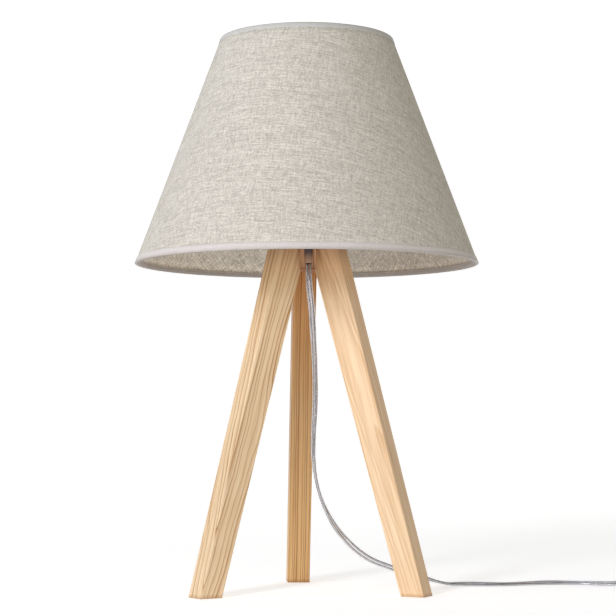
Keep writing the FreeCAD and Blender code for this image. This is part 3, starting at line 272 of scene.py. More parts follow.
class Nodes:
    """Short names for making a node tree."""

    def __init__(self, name):
        self.mat = bpy.data.materials.new(name)
        self.mat.use_nodes = True
        self.t = self.mat.node_tree
        self.bsdf = next(n for n in self.t.nodes if n.type == "BSDF_PRINCIPLED")

    def put(self, **sockets):
        for k, v in sockets.items():
            self.bsdf.inputs[k.replace("_", " ")].default_value = v

    def link(self, a, b):
        self.t.links.new(a, b)

    def value(self, x, sock):
        if isinstance(x, (int, float)):
            sock.default_value = x
        else:
            self.link(x, sock)

    def math(self, op, a, b=0.0, c=None, clamp=False):
        n = self.t.nodes.new("ShaderNodeMath")
        n.operation = op
        n.use_clamp = clamp
        self.value(a, n.inputs[0])
        if op not in ("SINE", "COSINE", "SQRT", "ABSOLUTE", "FRACT", "FLOOR"):
            self.value(b, n.inputs[1])
        if c is not None:
            self.value(c, n.inputs[2])
        return n.outputs[0]

    def object_co(self):
        return self.t.nodes.new("ShaderNodeTexCoord").outputs["Object"]

    def mapping(self, vec, loc=(0, 0, 0), rot=(0, 0, 0), scale=(1, 1, 1)):
        n = self.t.nodes.new("ShaderNodeMapping")
        n.inputs["Location"].default_value = loc
        n.inputs["Rotation"].default_value = rot
        n.inputs["Scale"].default_value = scale
        self.link(vec, n.inputs["Vector"])
        return n.outputs[0]

    def xyz(self, vec):
        n = self.t.nodes.new("ShaderNodeSeparateXYZ")
        self.link(vec, n.inputs[0])
        return n.outputs[0], n.outputs[1], n.outputs[2]

    def vec(self, x, y, z=0.0):
        n = self.t.nodes.new("ShaderNodeCombineXYZ")
        for i, c in enumerate((x, y, z)):
            self.value(c, n.inputs[i])
        return n.outputs[0]

    def noise(self, vec, scale=1.0, detail=2.0, rough=0.5, distortion=0.0):
        n = self.t.nodes.new("ShaderNodeTexNoise")
        n.inputs["Scale"].default_value = scale
        n.inputs["Detail"].default_value = detail
        n.inputs["Roughness"].default_value = rough
        n.inputs["Distortion"].default_value = distortion
        self.link(vec, n.inputs["Vector"])
        return n.outputs["Fac"]

    def ramp(self, fac, stops, interp="LINEAR"):
        n = self.t.nodes.new("ShaderNodeValToRGB")
        n.color_ramp.interpolation = interp
        els = n.color_ramp.elements
        while len(els) < len(stops):
            els.new(0.5)
        for e, (p, c) in zip(els, stops):
            e.position = p
            e.color = c if len(c) == 4 else (*c, 1.0)
        self.link(fac, n.inputs[0])
        return n.outputs[0]

    def mix(self, fac, a, b, blend="MIX"):
        n = self.t.nodes.new("ShaderNodeMix")
        n.data_type = "RGBA"
        n.blend_type = blend
        self.value(fac, n.inputs[0])
        for x, s in ((a, n.inputs[6]), (b, n.inputs[7])):
            if isinstance(x, tuple):
                s.default_value = x
            else:
                self.link(x, s)
        return n.outputs[2]

    def bump(self, height, distance, strength=1.0):
        n = self.t.nodes.new("ShaderNodeBump")
        n.inputs["Strength"].default_value = strength
        n.inputs["Distance"].default_value = distance
        self.link(height, n.inputs["Height"])
        self.link(n.outputs[0], self.bsdf.inputs["Normal"])

    def colour(self, out):
        self.link(out, self.bsdf.inputs["Base Color"])

    def rough(self, out):
        self.link(out, self.bsdf.inputs["Roughness"])


def wood(name, axes, centre, pith, spacing, light, dark, band=0.55, tint=None, shift=0.0, wander=1.0, lean=(0.0, 0.0), dim=None, streaks=0.5):
    """Softwood with growth rings. axes are three unit vectors of the piece, the third along the grain; pith is where
    the tree's middle is, in mm from the centre along the first two, and lean how far it moves along the grain. The
    height table, of (height in metres, colour), is painted shade and light multiplied into the colour: on the legs it
    paints them darker towards the top, for the lampshade's shadow, and at the cut foot, for the contact shadow.
    """
    n = Nodes(name)
    rot = Matrix([axes[0], axes[1], axes[2]])
    loc = -(rot @ Vector(centre))
    co = n.object_co()
    local = n.mapping(co, loc=loc + Vector((shift, shift * 0.7, shift)), rot=rot.to_euler("XYZ"))
    x0, y0, z0 = n.xyz(local)

    def drift(seed, scale, along, size):
        """Slow sideways wander of the grain."""
        v = n.noise(n.mapping(local, loc=(seed, seed * 1.7, seed * 0.3), scale=(scale, scale, along)), 1.0, 1.5)
        return n.math("MULTIPLY", n.math("SUBTRACT", v, 0.5), size * wander)

    x, y = x0, y0
    for seed, scale, along, size in ((0.0, 9.0, 3.0, 0.012), (5.2, 26.0, 12.0, 0.0042), (9.4, 90.0, 34.0, 0.0012)):
        x = n.math("ADD", x, drift(seed, scale, along, size))
        y = n.math("ADD", y, drift(seed + 2.9, scale, along, size))
    dx = n.math("ADD", n.math("SUBTRACT", x, pith[0] * MM), n.math("MULTIPLY", z0, lean[0]))
    dy = n.math("ADD", n.math("SUBTRACT", y, pith[1] * MM), n.math("MULTIPLY", z0, lean[1]))
    r = n.math("SQRT", n.math("ADD", n.math("MULTIPLY", dx, dx), n.math("MULTIPLY", dy, dy)))
    ring = n.math("DIVIDE", r, spacing * MM)
    # rings of uneven width and strength
    uneven = n.noise(n.vec(n.math("MULTIPLY", ring, 0.62), 0.3, 0.7), 1.0, 2.0)
    ring = n.math("ADD", ring, n.math("MULTIPLY", uneven, 2.4))
    part = n.math("FRACT", ring)
    late = n.ramp(part, [(0.0, (0.0,) * 3), (0.05, (0.0,) * 3), (0.42, (0.10,) * 3), (0.70, (0.42,) * 3), (0.88, (1.0,) * 3), (0.95, (0.8,) * 3), (1.0, (0.0,) * 3)])
    strength = n.noise(n.vec(n.math("MULTIPLY", n.math("FLOOR", ring), 3.17), 0.1, 0.2), 1.0, 0.0)
    along = n.noise(n.mapping(local, loc=(1.3, 4.1, 0.0), scale=(60, 60, 9)), 1.0, 2.0)
    late = n.math("MULTIPLY", late, n.math("ADD", n.math("MULTIPLY", strength, 1.3), 0.2), clamp=True)
    late = n.math("MULTIPLY", late, n.math("ADD", n.math("MULTIPLY", along, 1.2), 0.4))
    late = n.math("MULTIPLY", late, band * 1.45, clamp=True)
    # fibres and broader streaks
    fib = n.noise(n.mapping(local, scale=(1500, 1500, 26)), 1.0, 3.0, 0.6)
    fib2 = n.noise(n.mapping(local, scale=(520, 520, 9)), 1.0, 2.5, 0.55)
    broad = n.noise(n.mapping(local, scale=(130, 130, 5)), 1.0, 2.0, 0.5)
    base = n.mix(late, light, dark)
    mid = tint if tint is not None else dark
    base = n.mix(n.math("MULTIPLY", n.math("SUBTRACT", broad, 0.42), 1.1, clamp=True), base, mid)
    streak = n.ramp(fib2, [(0.30, srgb(226, 202, 172)), (0.52, (1, 1, 1, 1)), (0.75, (1, 1, 1, 1))])
    base = n.mix(streaks, base, streak, "MULTIPLY")
    fine = n.ramp(fib, [(0.25, srgb(230, 218, 202)), (0.55, (1, 1, 1, 1))])
    base = n.mix(0.7, base, fine, "MULTIPLY")
    # painted shade and light by height: the table multiplies the wood's colour
    if dim:
        z = n.math("DIVIDE", n.xyz(co)[2], 0.3)
        base = n.mix(1.0, base, n.ramp(z, [(h / 0.3, c) for h, c in dim]), "MULTIPLY")
    n.colour(base)
    n.rough(n.ramp(fib, [(0.2, (0.62,) * 3), (0.8, (0.46,) * 3)]))
    n.bump(n.math("ADD", n.math("MULTIPLY", late, 0.5), n.math("MULTIPLY", fib, 0.5)), 0.00012, 0.7)
    n.put(Coat_Weight=0.10, Coat_Roughness=0.35, Specular_IOR_Level=0.42)
    return n.mat


def flat_cone(n, seam_shift=24.0, apex=0.687):
    """Position on the cloth before it was rolled into the cone, in metres: across and along its middle."""
    x, y, z = n.xyz(n.object_co())
    c, s = math.cos(math.radians(seam_shift)), math.sin(math.radians(seam_shift))
    fx = n.math("ADD", n.math("MULTIPLY", x, c), n.math("MULTIPLY", y, -s))
    fy = n.math("ADD", n.math("MULTIPLY", x, s), n.math("MULTIPLY", y, c))
    h = n.math("SUBTRACT", apex, z)
    rr = n.math("ADD", n.math("MULTIPLY", x, x), n.math("MULTIPLY", y, y))
    rho = n.math("SQRT", n.math("ADD", rr, n.math("MULTIPLY", h, h)))
    a = n.math("MULTIPLY", n.math("ARCTAN2", fx, n.math("MULTIPLY", fy, -1.0)), 0.3485)
    return n.math("MULTIPLY", rho, n.math("SINE", a)), n.math("MULTIPLY", rho, n.math("COSINE", a))


def cloth_height(n, u, v, pitch=0.00062):
    """Height of a plain weave with uneven yarns, 0 to 1, and how slubbed it is along and across."""
    # yarns wander a little
    w1 = n.noise(n.vec(n.math("MULTIPLY", u, 38.0), n.math("MULTIPLY", v, 120.0)), 1.0, 2.0)
    w2 = n.noise(n.vec(n.math("MULTIPLY", u, 120.0), n.math("MULTIPLY", v, 38.0), 4.2), 1.0, 2.0)
    vv = n.math("ADD", v, n.math("MULTIPLY", w1, 0.0016))
    uu = n.math("ADD", u, n.math("MULTIPLY", w2, 0.0016))
    weft = n.noise(n.vec(n.math("MULTIPLY", uu, 150.0), n.math("MULTIPLY", vv, 940.0)), 1.0, 2.0, 0.55)
    weft2 = n.noise(n.vec(n.math("MULTIPLY", uu, 42.0), n.math("MULTIPLY", vv, 640.0), 7.7), 1.0, 1.0, 0.5)
    warp = n.noise(n.vec(n.math("MULTIPLY", uu, 700.0), n.math("MULTIPLY", vv, 120.0), 2.2), 1.0, 2.0, 0.55)
    knot = n.noise(n.vec(n.math("MULTIPLY", uu, 560.0), n.math("MULTIPLY", vv, 820.0), 9.1), 1.0, 1.0, 0.5)
    wave_v = n.math("SINE", n.math("MULTIPLY", vv, 2 * math.pi / pitch))
    wave_u = n.math("SINE", n.math("MULTIPLY", uu, 2 * math.pi / pitch))
    grid = n.math("MULTIPLY", n.math("MULTIPLY", wave_u, wave_v), 0.5)
    return weft, weft2, warp, knot, grid


def linen(name, light, dark, slub=1.0, rough=0.92, relief=0.00016, shading=None):
    n = Nodes(name)
    u, v = flat_cone(n)
    weft, weft2, warp, knot, grid = cloth_height(n, u, v)
    f = n.math("MULTIPLY", n.math("SUBTRACT", weft, 0.5), 1.35 * slub)
    for part, w in ((weft2, 0.8), (warp, 1.05), (knot, 1.3)):
        f = n.math("ADD", f, n.math("MULTIPLY", n.math("SUBTRACT", part, 0.5), w * slub))
    f = n.math("ADD", f, n.math("MULTIPLY", grid, 0.12))
    f = n.math("ADD", f, 0.5, clamp=True)
    base = n.ramp(f, [(0.0, dark), (0.5, tuple((a + b) / 2 for a, b in zip(light, dark))), (1.0, light)])
    if shading:
        base = shading(n, base)
    n.colour(base)
    h = n.math("ADD", n.math("MULTIPLY", weft, 0.8), n.math("ADD", n.math("MULTIPLY", warp, 0.6), n.math("MULTIPLY", grid, 0.25)))
    n.bump(h, relief, 0.8)
    n.put(Roughness=rough, Specular_IOR_Level=0.18, Sheen_Weight=0.12, Sheen_Roughness=0.5)
    return n.mat


def tape_painted_shade(n, base):
    """Painted shade on the tape: darker where it turns under the bottom rim and on the inside of its roll round the
    wire, below the roll's crest, standing in for the shade there; the top tape only gets a flat, slightly darker and
    cooler tone.
    """
    x, y, z = n.xyz(n.object_co())
    low = n.ramp(n.math("DIVIDE", n.math("SUBTRACT", z, 0.2835), 0.0030, clamp=True), [(0.0, (0.62, 0.60, 0.58)), (0.45, (0.88, 0.87, 0.86)), (1.0, (1.0, 1.0, 1.0))])
    r = n.math("SQRT", n.math("ADD", n.math("MULTIPLY", x, x), n.math("MULTIPLY", y, y)))
    inset = n.math("SUBTRACT", n.math("SUBTRACT", 0.150, n.math("MULTIPLY", n.math("SUBTRACT", z, 0.2835), 0.371788)), r)
    inner = n.ramp(n.math("DIVIDE", inset, 0.005, clamp=True), [(0.0, (1.0, 1.0, 1.0)), (0.3, (1.0, 1.0, 1.0)), (0.6, (0.58, 0.56, 0.54))])
    crest = n.ramp(n.math("DIVIDE", n.math("SUBTRACT", z, 0.2860), 0.0014, clamp=True), [(0.0, (0.0, 0.0, 0.0)), (1.0, (1.0, 1.0, 1.0))])
    inner = n.mix(crest, inner, (1.0, 1.0, 1.0, 1.0))
    edge = n.math("LESS_THAN", z, 0.40)
    both = n.mix(1.0, low, inner, "MULTIPLY")
    return n.mix(1.0, base, n.mix(edge, (0.79, 0.83, 0.82, 1.0), both), "MULTIPLY")


def lining_painted_light(n, base):
    """Painted light and shade on the film: painted lighter just above the rolled rim, where the roll shades it, and
    painted darker towards +X, for the light that falls from the other side.
    """
    x, y, z = n.xyz(n.object_co())
    rim = n.ramp(n.math("DIVIDE", n.math("SUBTRACT", z, 0.2875), 0.008, clamp=True), [(0.0, (1.45, 1.45, 1.45)), (0.3, (1.3, 1.3, 1.3)), (1.0, (1.0, 1.0, 1.0))])
    half = n.ramp(n.math("ADD", n.math("MULTIPLY", x, 12.0), 0.4, clamp=True), [(0.0, (1.0, 1.0, 1.0)), (1.0, (0.82, 0.80, 0.79))])
    return n.mix(1.0, n.mix(1.0, base, rim, "MULTIPLY"), half, "MULTIPLY")


def plastic(name, colour, rough=0.35, mottling=0.03, relief=0.00004, scale=900.0, coat=0.0, spec=0.5):
    """Moulded plastic: a faint spark texture and a little unevenness in its gloss."""
    n = Nodes(name)
    co = n.object_co()
    spark = n.noise(co, scale, 2.0, 0.6)
    cloud = n.noise(co, 35.0, 2.0, 0.5)
    darker = tuple(c * (1 - mottling * 2.2) for c in colour[:3]) + (1.0,)
    n.colour(n.mix(n.math("ADD", n.math("MULTIPLY", cloud, 0.7), n.math("MULTIPLY", spark, 0.3)), colour, darker))
    n.rough(n.ramp(cloud, [(0.3, (rough * 0.88,) * 3), (0.7, (rough * 1.15,) * 3)]))
    n.bump(spark, relief, 0.6)
    n.put(Specular_IOR_Level=spec, Coat_Weight=coat, Coat_Roughness=0.2)
    return n.mat


def metal(name, colour, rough=0.28, brushed=(40, 40, 600), relief=0.00002, tarnish=0.12):
    n = Nodes(name)
    co = n.object_co()
    lines = n.noise(n.mapping(co, scale=brushed), 1.0, 2.0, 0.6)
    cloud = n.noise(co, 60.0, 2.0, 0.5)
    darker = tuple(c * (1 - tarnish) for c in colour[:3]) + (1.0,)
    n.colour(n.mix(cloud, colour, darker))
    n.rough(n.ramp(lines, [(0.2, (rough * 0.75,) * 3), (0.8, (rough * 1.35,) * 3)]))
    n.bump(lines, relief, 0.5)
    n.put(Metallic=1.0)
    return n.mat


def leg_axes(az):
    """Unit vectors of a leg: radial, tangential and along it."""
    slope = -0.2766
    a = math.radians(az)
    out = Vector((math.cos(a), math.sin(a), 0))
    along = (out * slope + Vector((0, 0, 1))).normalized()
    tang = Vector((-math.sin(a), math.cos(a), 0))
    radial = tang.cross(along).normalized()
    return radial, tang, along


def leg_wood(name, az, pith, spacing, light, dark, **more):
    axes = leg_axes(az)
    centre = polar(102.6 * MM, az)
    return wood(name, axes, centre, pith, spacing, light, dark, **more)


PINE_LIGHT, PINE_DARK = srgb(247, 222, 184), srgb(214, 166, 112)
HUB_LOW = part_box("hub_block")[0][2]
# painted shade on the front legs: darker at the cut ends, for the contact shadow, and where they go up under the
# lampshade, for its shadow, with a little painted light between
FRONT_LEG_PAINTED_SHADE = [(0.0, (0.72, 0.64, 0.56)), (0.0035, (1.05, 1.05, 1.05)), (0.07, (1.0, 1.0, 1.0)), (0.2, (1.0, 1.0, 1.0)), (0.25, (1.05, 1.05, 1.05)), (0.28, (0.9, 0.8, 0.7)), (0.3, (0.5, 0.4, 0.35))]
# painted shade on the back leg: darker all the way up, for the lampshade's shadow and the weaker light from the floor,
# and at its cut end; a little painted light near the foot
BACK_LEG_PAINTED_SHADE = [(0.0, (0.70, 0.62, 0.54)), (0.0035, (1.13, 1.14, 1.10)), (0.05, (1.07, 1.08, 1.05)), (0.16, (0.80, 0.79, 0.75)), (0.245, (0.77, 0.67, 0.53)), (0.29, (0.73, 0.56, 0.38))]
mat_left = leg_wood("pine_left", 210 + TURN, (-58, -44), 3.5, srgb(246, 221, 184), srgb(182, 128, 72), band=0.72, tint=srgb(228, 194, 146), shift=0.013, wander=1.75, lean=(0.020, 0.010), dim=FRONT_LEG_PAINTED_SHADE, streaks=0.6)
mat_right = leg_wood("pine_right", 330 + TURN, (64, 10), 3.4, srgb(247, 218, 180), srgb(202, 154, 102), band=0.38, tint=srgb(234, 194, 146), shift=0.041, wander=0.8, lean=(0.085, 0.02), dim=FRONT_LEG_PAINTED_SHADE)
mat_back = leg_wood("pine_back", 90 + TURN, (4, 90), 2.3, srgb(240, 198, 142), srgb(142, 88, 40), band=0.76, tint=srgb(210, 154, 92), shift=0.027, wander=0.6, dim=BACK_LEG_PAINTED_SHADE)
ident = (Vector((1, 0, 0)), Vector((0, 0, 1)), Vector((0, -1, 0)))
mat_plate = wood("pine_plate", ident, Vector((0, 0, 0.302)), (10, -70), 3.4, PINE_LIGHT, PINE_DARK, band=0.5, tint=srgb(236, 200, 152))
# the hub block's height table paints shade along its lowest edge, where its underside lies in shadow
mat_block = wood("pine_block", (Vector((1, 0, 0)), Vector((0, 1, 0)), Vector((0, 0, 1))), Vector((0, 0, 0.287)), (26, 30), 2.8, srgb(232, 190, 152), srgb(182, 128, 86), band=0.6, dim=[(HUB_LOW, (0.52, 0.38, 0.28)), (HUB_LOW + 0.0025, (0.80, 0.70, 0.62)), (HUB_LOW + 0.008, (1.0, 1.0, 1.0))])
mat_dowel = wood("beech_dowel", (Vector((0, 1, 0)), Vector((0, 0, 1)), Vector((1, 0, 0))), Vector((0, 0, 0.287)), (3, 12), 1.2, srgb(226, 190, 150), srgb(196, 152, 112), band=0.4)

mat_linen = linen("linen", srgb(233, 228, 216), srgb(180, 174, 162), slub=1.0, relief=0.00022)
mat_tape = linen("tape", srgb(234, 228, 224), srgb(208, 202, 197), slub=0.5, relief=0.00008, shading=tape_painted_shade)
mat_lining = linen("lining_film", srgb(238, 231, 219), srgb(168, 161, 149), slub=1.15, rough=0.62, relief=0.00006, shading=lining_painted_light)

mat_zinc = metal("zinc_steel", srgb(200, 200, 198), 0.34)
mat_brass = metal("contact_brass", srgb(216, 186, 118), 0.26)
mat_shell = metal("shell_brass", srgb(222, 196, 132), 0.22)
mat_nickel = metal("cap_nickel", srgb(214, 211, 204), 0.2)
mat_solder = metal("solder", srgb(186, 186, 186), 0.42)
mat_board = plastic("board", srgb(232, 232, 228), 0.3)
mat_pin = metal("pin_nickel", srgb(212, 210, 204), 0.2, brushed=(900, 40, 40))
mat_holder = plastic("holder_white", srgb(236, 233, 224), 0.3)
mat_core = plastic("holder_core", srgb(228, 222, 206), 0.55)
mat_switch = plastic("switch_white", srgb(238, 237, 231), 0.32, relief=0.00005, scale=1500)
mat_plug = plastic("plug_white", srgb(238, 237, 231), 0.36, relief=0.00005, scale=1500)
mat_sleeve = plastic("pin_sleeve", srgb(34, 34, 35), 0.42)
mat_vitrite = plastic("black_glass", srgb(18, 18, 22), 0.12)
mat_collar = plastic("bulb_collar_white", srgb(240, 240, 236), 0.38)
mat_wire = plastic("white_wire", srgb(232, 231, 226), 0.4, relief=0.00003, scale=1200)
mat_sleeving = plastic("wire_sleeving", srgb(188, 184, 174), 0.4)


def opal_glass():
    n = Nodes("opal")
    co = n.object_co()
    cloud = n.noise(co, 25.0, 2.0, 0.5)
    n.colour(n.mix(cloud, srgb(250, 249, 244), srgb(238, 236, 228)))
    n.rough(n.ramp(cloud, [(0.3, (0.24,) * 3), (0.7, (0.32,) * 3)]))
    n.bump(n.noise(co, 700.0, 1.0), 0.00002, 0.4)
    n.put(Subsurface_Weight=0.35, Subsurface_Scale=0.01, Coat_Weight=0.3, Coat_Roughness=0.12)
    return n.mat


def gland_rubber():
    """Dark moulding, darker towards the top: nearly black at its thick top, greyer at its thin tip."""
    n = Nodes("dark_polymer")
    co = n.object_co()
    z = n.xyz(co)[2]
    t = n.math("DIVIDE", n.math("SUBTRACT", z, 0.284), 0.011, clamp=True)
    grain = n.noise(co, 1600.0, 2.0)
    t = n.math("ADD", t, n.math("MULTIPLY", n.math("SUBTRACT", grain, 0.5), 0.2), clamp=True)
    n.colour(n.ramp(t, [(0.0, srgb(174, 138, 112)), (0.45, srgb(130, 99, 82)), (0.75, srgb(74, 60, 62)), (1.0, srgb(58, 46, 50))]))
    n.rough(n.ramp(grain, [(0.3, (0.42,) * 3), (0.7, (0.6,) * 3)]))
    n.bump(grain, 0.00005, 0.5)
    return n.mat


def sheath():
    """Clear soft sheath of the twin cord."""
    n = Nodes("clear_sheath")
    co = n.object_co()
    cloud = n.noise(co, 90.0, 2.0)
    n.colour(n.mix(cloud, srgb(238, 238, 241), srgb(226, 226, 230)))
    n.rough(n.ramp(cloud, [(0.3, (0.03,) * 3), (0.7, (0.07,) * 3)]))
    n.bump(n.noise(co, 300.0, 1.0), 0.00003, 0.3)
    n.put(Transmission_Weight=1.0, IOR=1.49, Specular_IOR_Level=0.9)
    return n.mat


def tinned_core():
    """Stranded tinned copper: fine wires laid side by side, brighter and darker along the cord."""
    n = Nodes("tinned_core")
    co = n.object_co()
    fine = n.noise(co, 1500.0, 2.0, 0.6)
    slow = n.noise(co, 110.0, 2.0)
    n.colour(n.mix(n.math("ADD", n.math("MULTIPLY", slow, 0.6), n.math("MULTIPLY", fine, 0.4)), srgb(246, 245, 245), srgb(176, 174, 178)))
    n.rough(n.ramp(fine, [(0.3, (0.13,) * 3), (0.7, (0.26,) * 3)]))
    n.bump(fine, 0.00008, 0.6)
    n.put(Metallic=0.9, Specular_IOR_Level=0.6)
    return n.mat


mat_opal, mat_gland, mat_sheath, mat_tinned = opal_glass(), gland_rubber(), sheath(), tinned_core()
for o in (cord_a, cord_b):
    o.data.materials.append(mat_sheath)
for o in cores:
    o.data.materials.append(mat_tinned)

NODE_MATERIALS = {
    "leg_back": mat_back, "leg_front_left": mat_left, "leg_front_right": mat_right, "hub_block": mat_block,
    "hub_dowels": mat_dowel, "leg_screws": mat_zinc, "top_plate": mat_plate, "threaded_tube": mat_zinc,
    "lock_nut": mat_zinc, "lock_washer": mat_zinc, "cord_gland": mat_gland, "cord_end": mat_sheath,
    "lead_wires": mat_sleeving, "lampholder_cap": mat_holder, "lampholder_core": mat_core,
    "centre_contact": mat_brass, "side_contact": mat_brass, "terminal_screws": mat_zinc, "screw_shell": mat_shell,
    "lampholder_shell": mat_holder, "shade_ring_lower": mat_holder, "shade_ring_upper": mat_holder,
    "bulb_tip": mat_solder, "bulb_insulator": mat_vitrite, "bulb_cap": mat_nickel, "bulb_collar": mat_collar,
    "bulb_led_board": mat_board, "bulb_globe": mat_opal, "shade_backing": mat_lining, "shade_bottom_ring": mat_wire,
    "shade_top_ring": mat_wire, "shade_spider": mat_wire, "switch_base": mat_switch, "switch_cover": mat_switch,
    "switch_rocker": mat_switch, "switch_lever": mat_brass, "switch_contact_in": mat_brass,
    "switch_contact_out": mat_brass, "switch_wires": mat_sleeving, "switch_screws": mat_zinc, "plug_body": mat_plug,
    "plug_pins": mat_pin, "plug_pin_sleeves": mat_sleeve, "shade_skin": mat_linen, "shade_bottom_trim": mat_tape,
    "shade_top_trim": mat_tape, "cord_to_switch": mat_sheath, "cord_to_coil": mat_sheath, "cord_coil": mat_sheath,
    "cord_to_plug": mat_sheath,
}
for name, m in NODE_MATERIALS.items():
    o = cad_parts[name]
    if not o.material_slots:
        o.data.materials.append(m)
    for sl in o.material_slots:
        sl.material = m

# ------------------------------------------------------------------ shade: linen and its tapes
S0, S1 = 283.5, 482.0
R0, R1 = 150.0, 76.2
CONE = (R1 - R0) / (S1 - S0)
SEAM_AZ = 66.0


def cone_r(z, inset=0.0):
    return R0 + CONE * (z - S0) - inset


def wobble(az, z, size=0.10):
    a = math.radians(az)
    return size * (math.sin(3 * a + z * 0.021) * 0.5 + math.sin(7 * a - z * 0.013 + 1.3) * 0.3 + math.sin(17 * a + z * 0.034 + 0.4) * 0.2)


def seam_lift(az):
    """The lap joint: the upper layer ends 9 mm past the middle of the seam."""
    d = (az - SEAM_AZ + 180) % 360 - 180
    width = 4.6
    if d < -width or d > width:
        return 0.0
    edge = min((d + width) / 0.5, (width - d) / 0.5, 1.0)
    return 0.34 * edge


def ring_sweep(name, profile, n=360, extra=0.0):
    """A closed section turned about Z; profile(az) gives (radius, height) points in mm."""
    verts, faces = [], []
    for k in range(n):
        az = 360.0 * k / n
        for r, z in profile(az):
            p = polar(r * MM, az, z * MM)
            verts.append(tuple(p))
    m = len(verts) // n
    for k in range(n):
        for j in range(m):
            a, b = k * m + j, k * m + (j + 1) % m
            c, e = ((k + 1) % n) * m + (j + 1) % m, ((k + 1) % n) * m + j
            faces.append((a, e, c, b))
    return mesh_from(name, verts, faces)


def linen_profile(az):
    z0, z1 = S0 + 0.95, S1 - 0.95
    steps = 26
    up = seam_lift(az)
    outer, inner = [], []
    for k in range(steps + 1):
        z = z0 + (z1 - z0) * k / steps
        ease = min(1.0, (z - z0) / 9.0, (z1 - z) / 9.0)
        outer.append((cone_r(z, 0.42) + wobble(az, z) * ease * 0.8 + up * ease - 0.08, z))
        inner.append((cone_r(z, 1.08), z))
    return outer + inner[::-1]


linen_piece = new_object("shade_linen", ring_sweep("shade_linen", linen_profile, n=720))
linen_piece.data.materials.append(mat_linen)
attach(linen_piece, "shade")
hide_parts("shade_skin")


def tape_profile(edge_z, up, tall, ring_r, phase):
    """Section of the folded tape, rounded where it goes over the edge and round the wire."""
    wr = 1.5

    def at(az):
        s = up
        soft = 0.10 * math.sin(math.radians(az) * 9 + phase) + 0.07 * math.sin(math.radians(az) * 23 + 2 * phase)
        t = tall + soft
        mid = edge_z + (0.7 + wr) * s
        pts = []
        # outer face, up from the edge
        pts.append((cone_r(edge_z, 0.0) - 1.0, edge_z))
        pts.append((cone_r(edge_z, 0.0) - 0.42, edge_z + 0.10 * s))
        pts.append((cone_r(edge_z, 0.0) - 0.12, edge_z + 0.42 * s))
        pts.append((cone_r(edge_z + 1.0 * s, 0.0) - 0.02, edge_z + 1.0 * s))
        pts.append((cone_r(edge_z + 0.5 * t * s, 0.0) - 0.04, edge_z + 0.5 * t * s))
        pts.append((cone_r(edge_z + (t - 0.35) * s, 0.0) - 0.06, edge_z + (t - 0.35) * s))
        pts.append((cone_r(edge_z + (t - 0.08) * s, 0.0) - 0.22, edge_z + (t - 0.08) * s))
        pts.append((cone_r(edge_z + t * s, 0.0) - 0.5, edge_z + t * s))
        # back down between the tape and the linen, round the inside of the fold
        pts.append((cone_r(edge_z + 0.8 * s, 0.62), edge_z + 0.8 * s))
        pts.append((cone_r(edge_z + 0.62 * s, 2.0), edge_z + 0.62 * s))
        for deg in (250, 225, 200, 180, 160, 135, 112):
            a = math.radians(deg)
            pts.append((ring_r + 1.62 * math.cos(a), mid + 1.62 * math.sin(a) * s))
        top = 4.35 + 0.5 * soft
        pts.append((cone_r(edge_z + top * s, 2.02), edge_z + top * s))
        pts.append((cone_r(edge_z + (top + 0.2) * s, 2.5), edge_z + (top + 0.15) * s))
        for deg in (108, 120, 135, 150, 165, 180, 195, 210, 225, 240, 255):
            a = math.radians(deg)
            pts.append((ring_r + 2.17 * math.cos(a), mid + 2.17 * math.sin(a) * s))
        return pts

    return at


LOW_RING_R = cone_r(S0 + 2.2, 2.0) - 1.5 * 1.07
TOP_RING_R = cone_r(S1 - 2.2, 2.0) - 1.5 * 1.07
tape_low = new_object("tape_bottom", ring_sweep("tape_bottom", tape_profile(S0, 1, 6.0, LOW_RING_R, 0.7)))
tape_top = new_object("tape_top", ring_sweep("tape_top", tape_profile(S1, -1, 4.6, TOP_RING_R, 2.1)))
for o, n in ((tape_low, "shade_bottom_trim"), (tape_top, "shade_top_trim")):
    o.data.materials.append(mat_tape)
    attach(o, "shade")
    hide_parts(n)

# ------------------------------------------------------------------ stage and light
def stage_mesh():
    """Floor that curves up into a backdrop."""
    verts, faces = [], []
    prof = [(-3.0, 0.0), (2.2, 0.0)]
    for k in range(1, 13):
        a = math.radians(90 * k / 12)
        prof.append((2.2 + 1.2 * math.sin(a), 1.2 - 1.2 * math.cos(a)))
    prof.append((3.4, 5.0))
    for y, z in prof:
        verts += [(-5.0, y, z - 0.00002), (5.0, y, z - 0.00002)]
    for k in range(len(prof) - 1):
        faces.append((2 * k, 2 * k + 1, 2 * k + 3, 2 * k + 2))
    return mesh_from("floor", verts, faces)


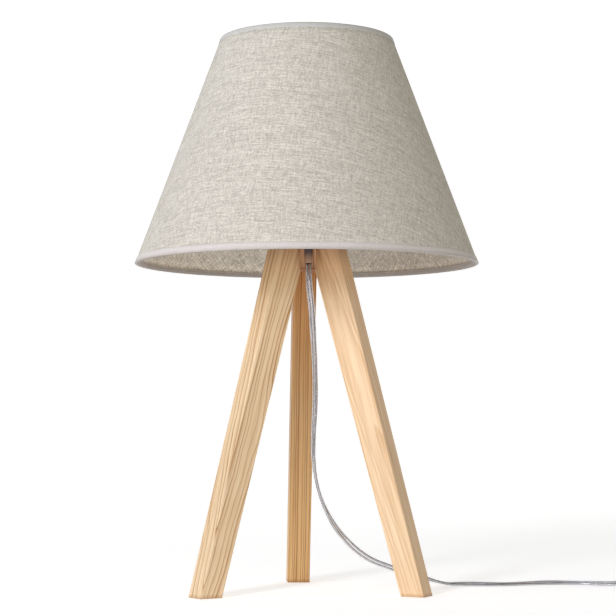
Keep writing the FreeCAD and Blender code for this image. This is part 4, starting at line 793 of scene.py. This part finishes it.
floor = new_object("floor", stage_mesh())
fn = Nodes("floor_paper")
fco = fn.object_co()
fn.colour(fn.mix(fn.noise(fco, 3.0, 2.0), (0.85, 0.85, 0.85, 1.0), (0.835, 0.835, 0.835, 1.0)))
fx, fy, fz = fn.xyz(fco)
away = fn.math("SQRT", fn.math("ADD", fn.math("MULTIPLY", fx, fx), fn.math("MULTIPLY", fy, fy)))
glow = fn.ramp(fn.math("DIVIDE", away, 2.0), [(0.0, (0.54,) * 3), (0.12, (0.545,) * 3), (0.55, (0.59,) * 3), (1.0, (0.605,) * 3)])
fn.put(Roughness=1.0, Specular_IOR_Level=0.0, Emission_Color=(0.985, 1.0, 1.015, 1.0))
fn.link(glow, fn.bsdf.inputs["Emission Strength"])
floor.data.materials.append(fn.mat)


def area_light(name, where, to, size, power, colour=(1, 1, 1), tall=None):
    li = bpy.data.lights.new(name, "AREA")
    li.shape = "ELLIPSE"
    li.size = size
    li.size_y = tall or size
    li.energy = power
    li.color = colour
    o = bpy.data.objects.new(name, li)
    scene.collection.objects.link(o)
    o.location = where
    d = Vector(to) - Vector(where)
    o.rotation_euler = d.to_track_quat("-Z", "Y").to_euler()
    return o


def light_at(name, az, el, size, power, colour, tall=None, far=2.4):
    a, e = math.radians(az), math.radians(el)
    where = (far * math.sin(a) * math.cos(e), -far * math.cos(a) * math.cos(e), 0.25 + far * math.sin(e))
    return area_light(name, where, (0, 0, 0.25), size, power, colour, tall)


light_at("key", -26, 18, 0.36, 25.9, (0.985, 0.995, 1.06), 1.15)
light_at("side", -65, 12, 1.0, 7.7, (0.985, 0.995, 1.06))
world = bpy.data.worlds.new("studio")
scene.world = world
world.use_nodes = True
bg = world.node_tree.nodes["Background"]
# the room is a little dimmer and warmer on the right
tree = world.node_tree
where = tree.nodes.new("ShaderNodeTexCoord")
split = tree.nodes.new("ShaderNodeSeparateXYZ")
tree.links.new(where.outputs["Generated"], split.inputs[0])
side = tree.nodes.new("ShaderNodeMapRange")
side.inputs["From Min"].default_value, side.inputs["From Max"].default_value = -0.2, 0.9
tree.links.new(split.outputs["X"], side.inputs["Value"])
room = tree.nodes.new("ShaderNodeValToRGB")
room.color_ramp.elements[0].color = (1.0, 1.0, 1.0, 1.0)
room.color_ramp.elements[1].color = (0.97, 0.72, 0.37, 1.0)
tree.links.new(side.outputs["Result"], room.inputs["Fac"])
tree.links.new(room.outputs["Color"], bg.inputs[0])
bg.inputs[1].default_value = 0.22
scene.view_settings.view_transform = "Standard"
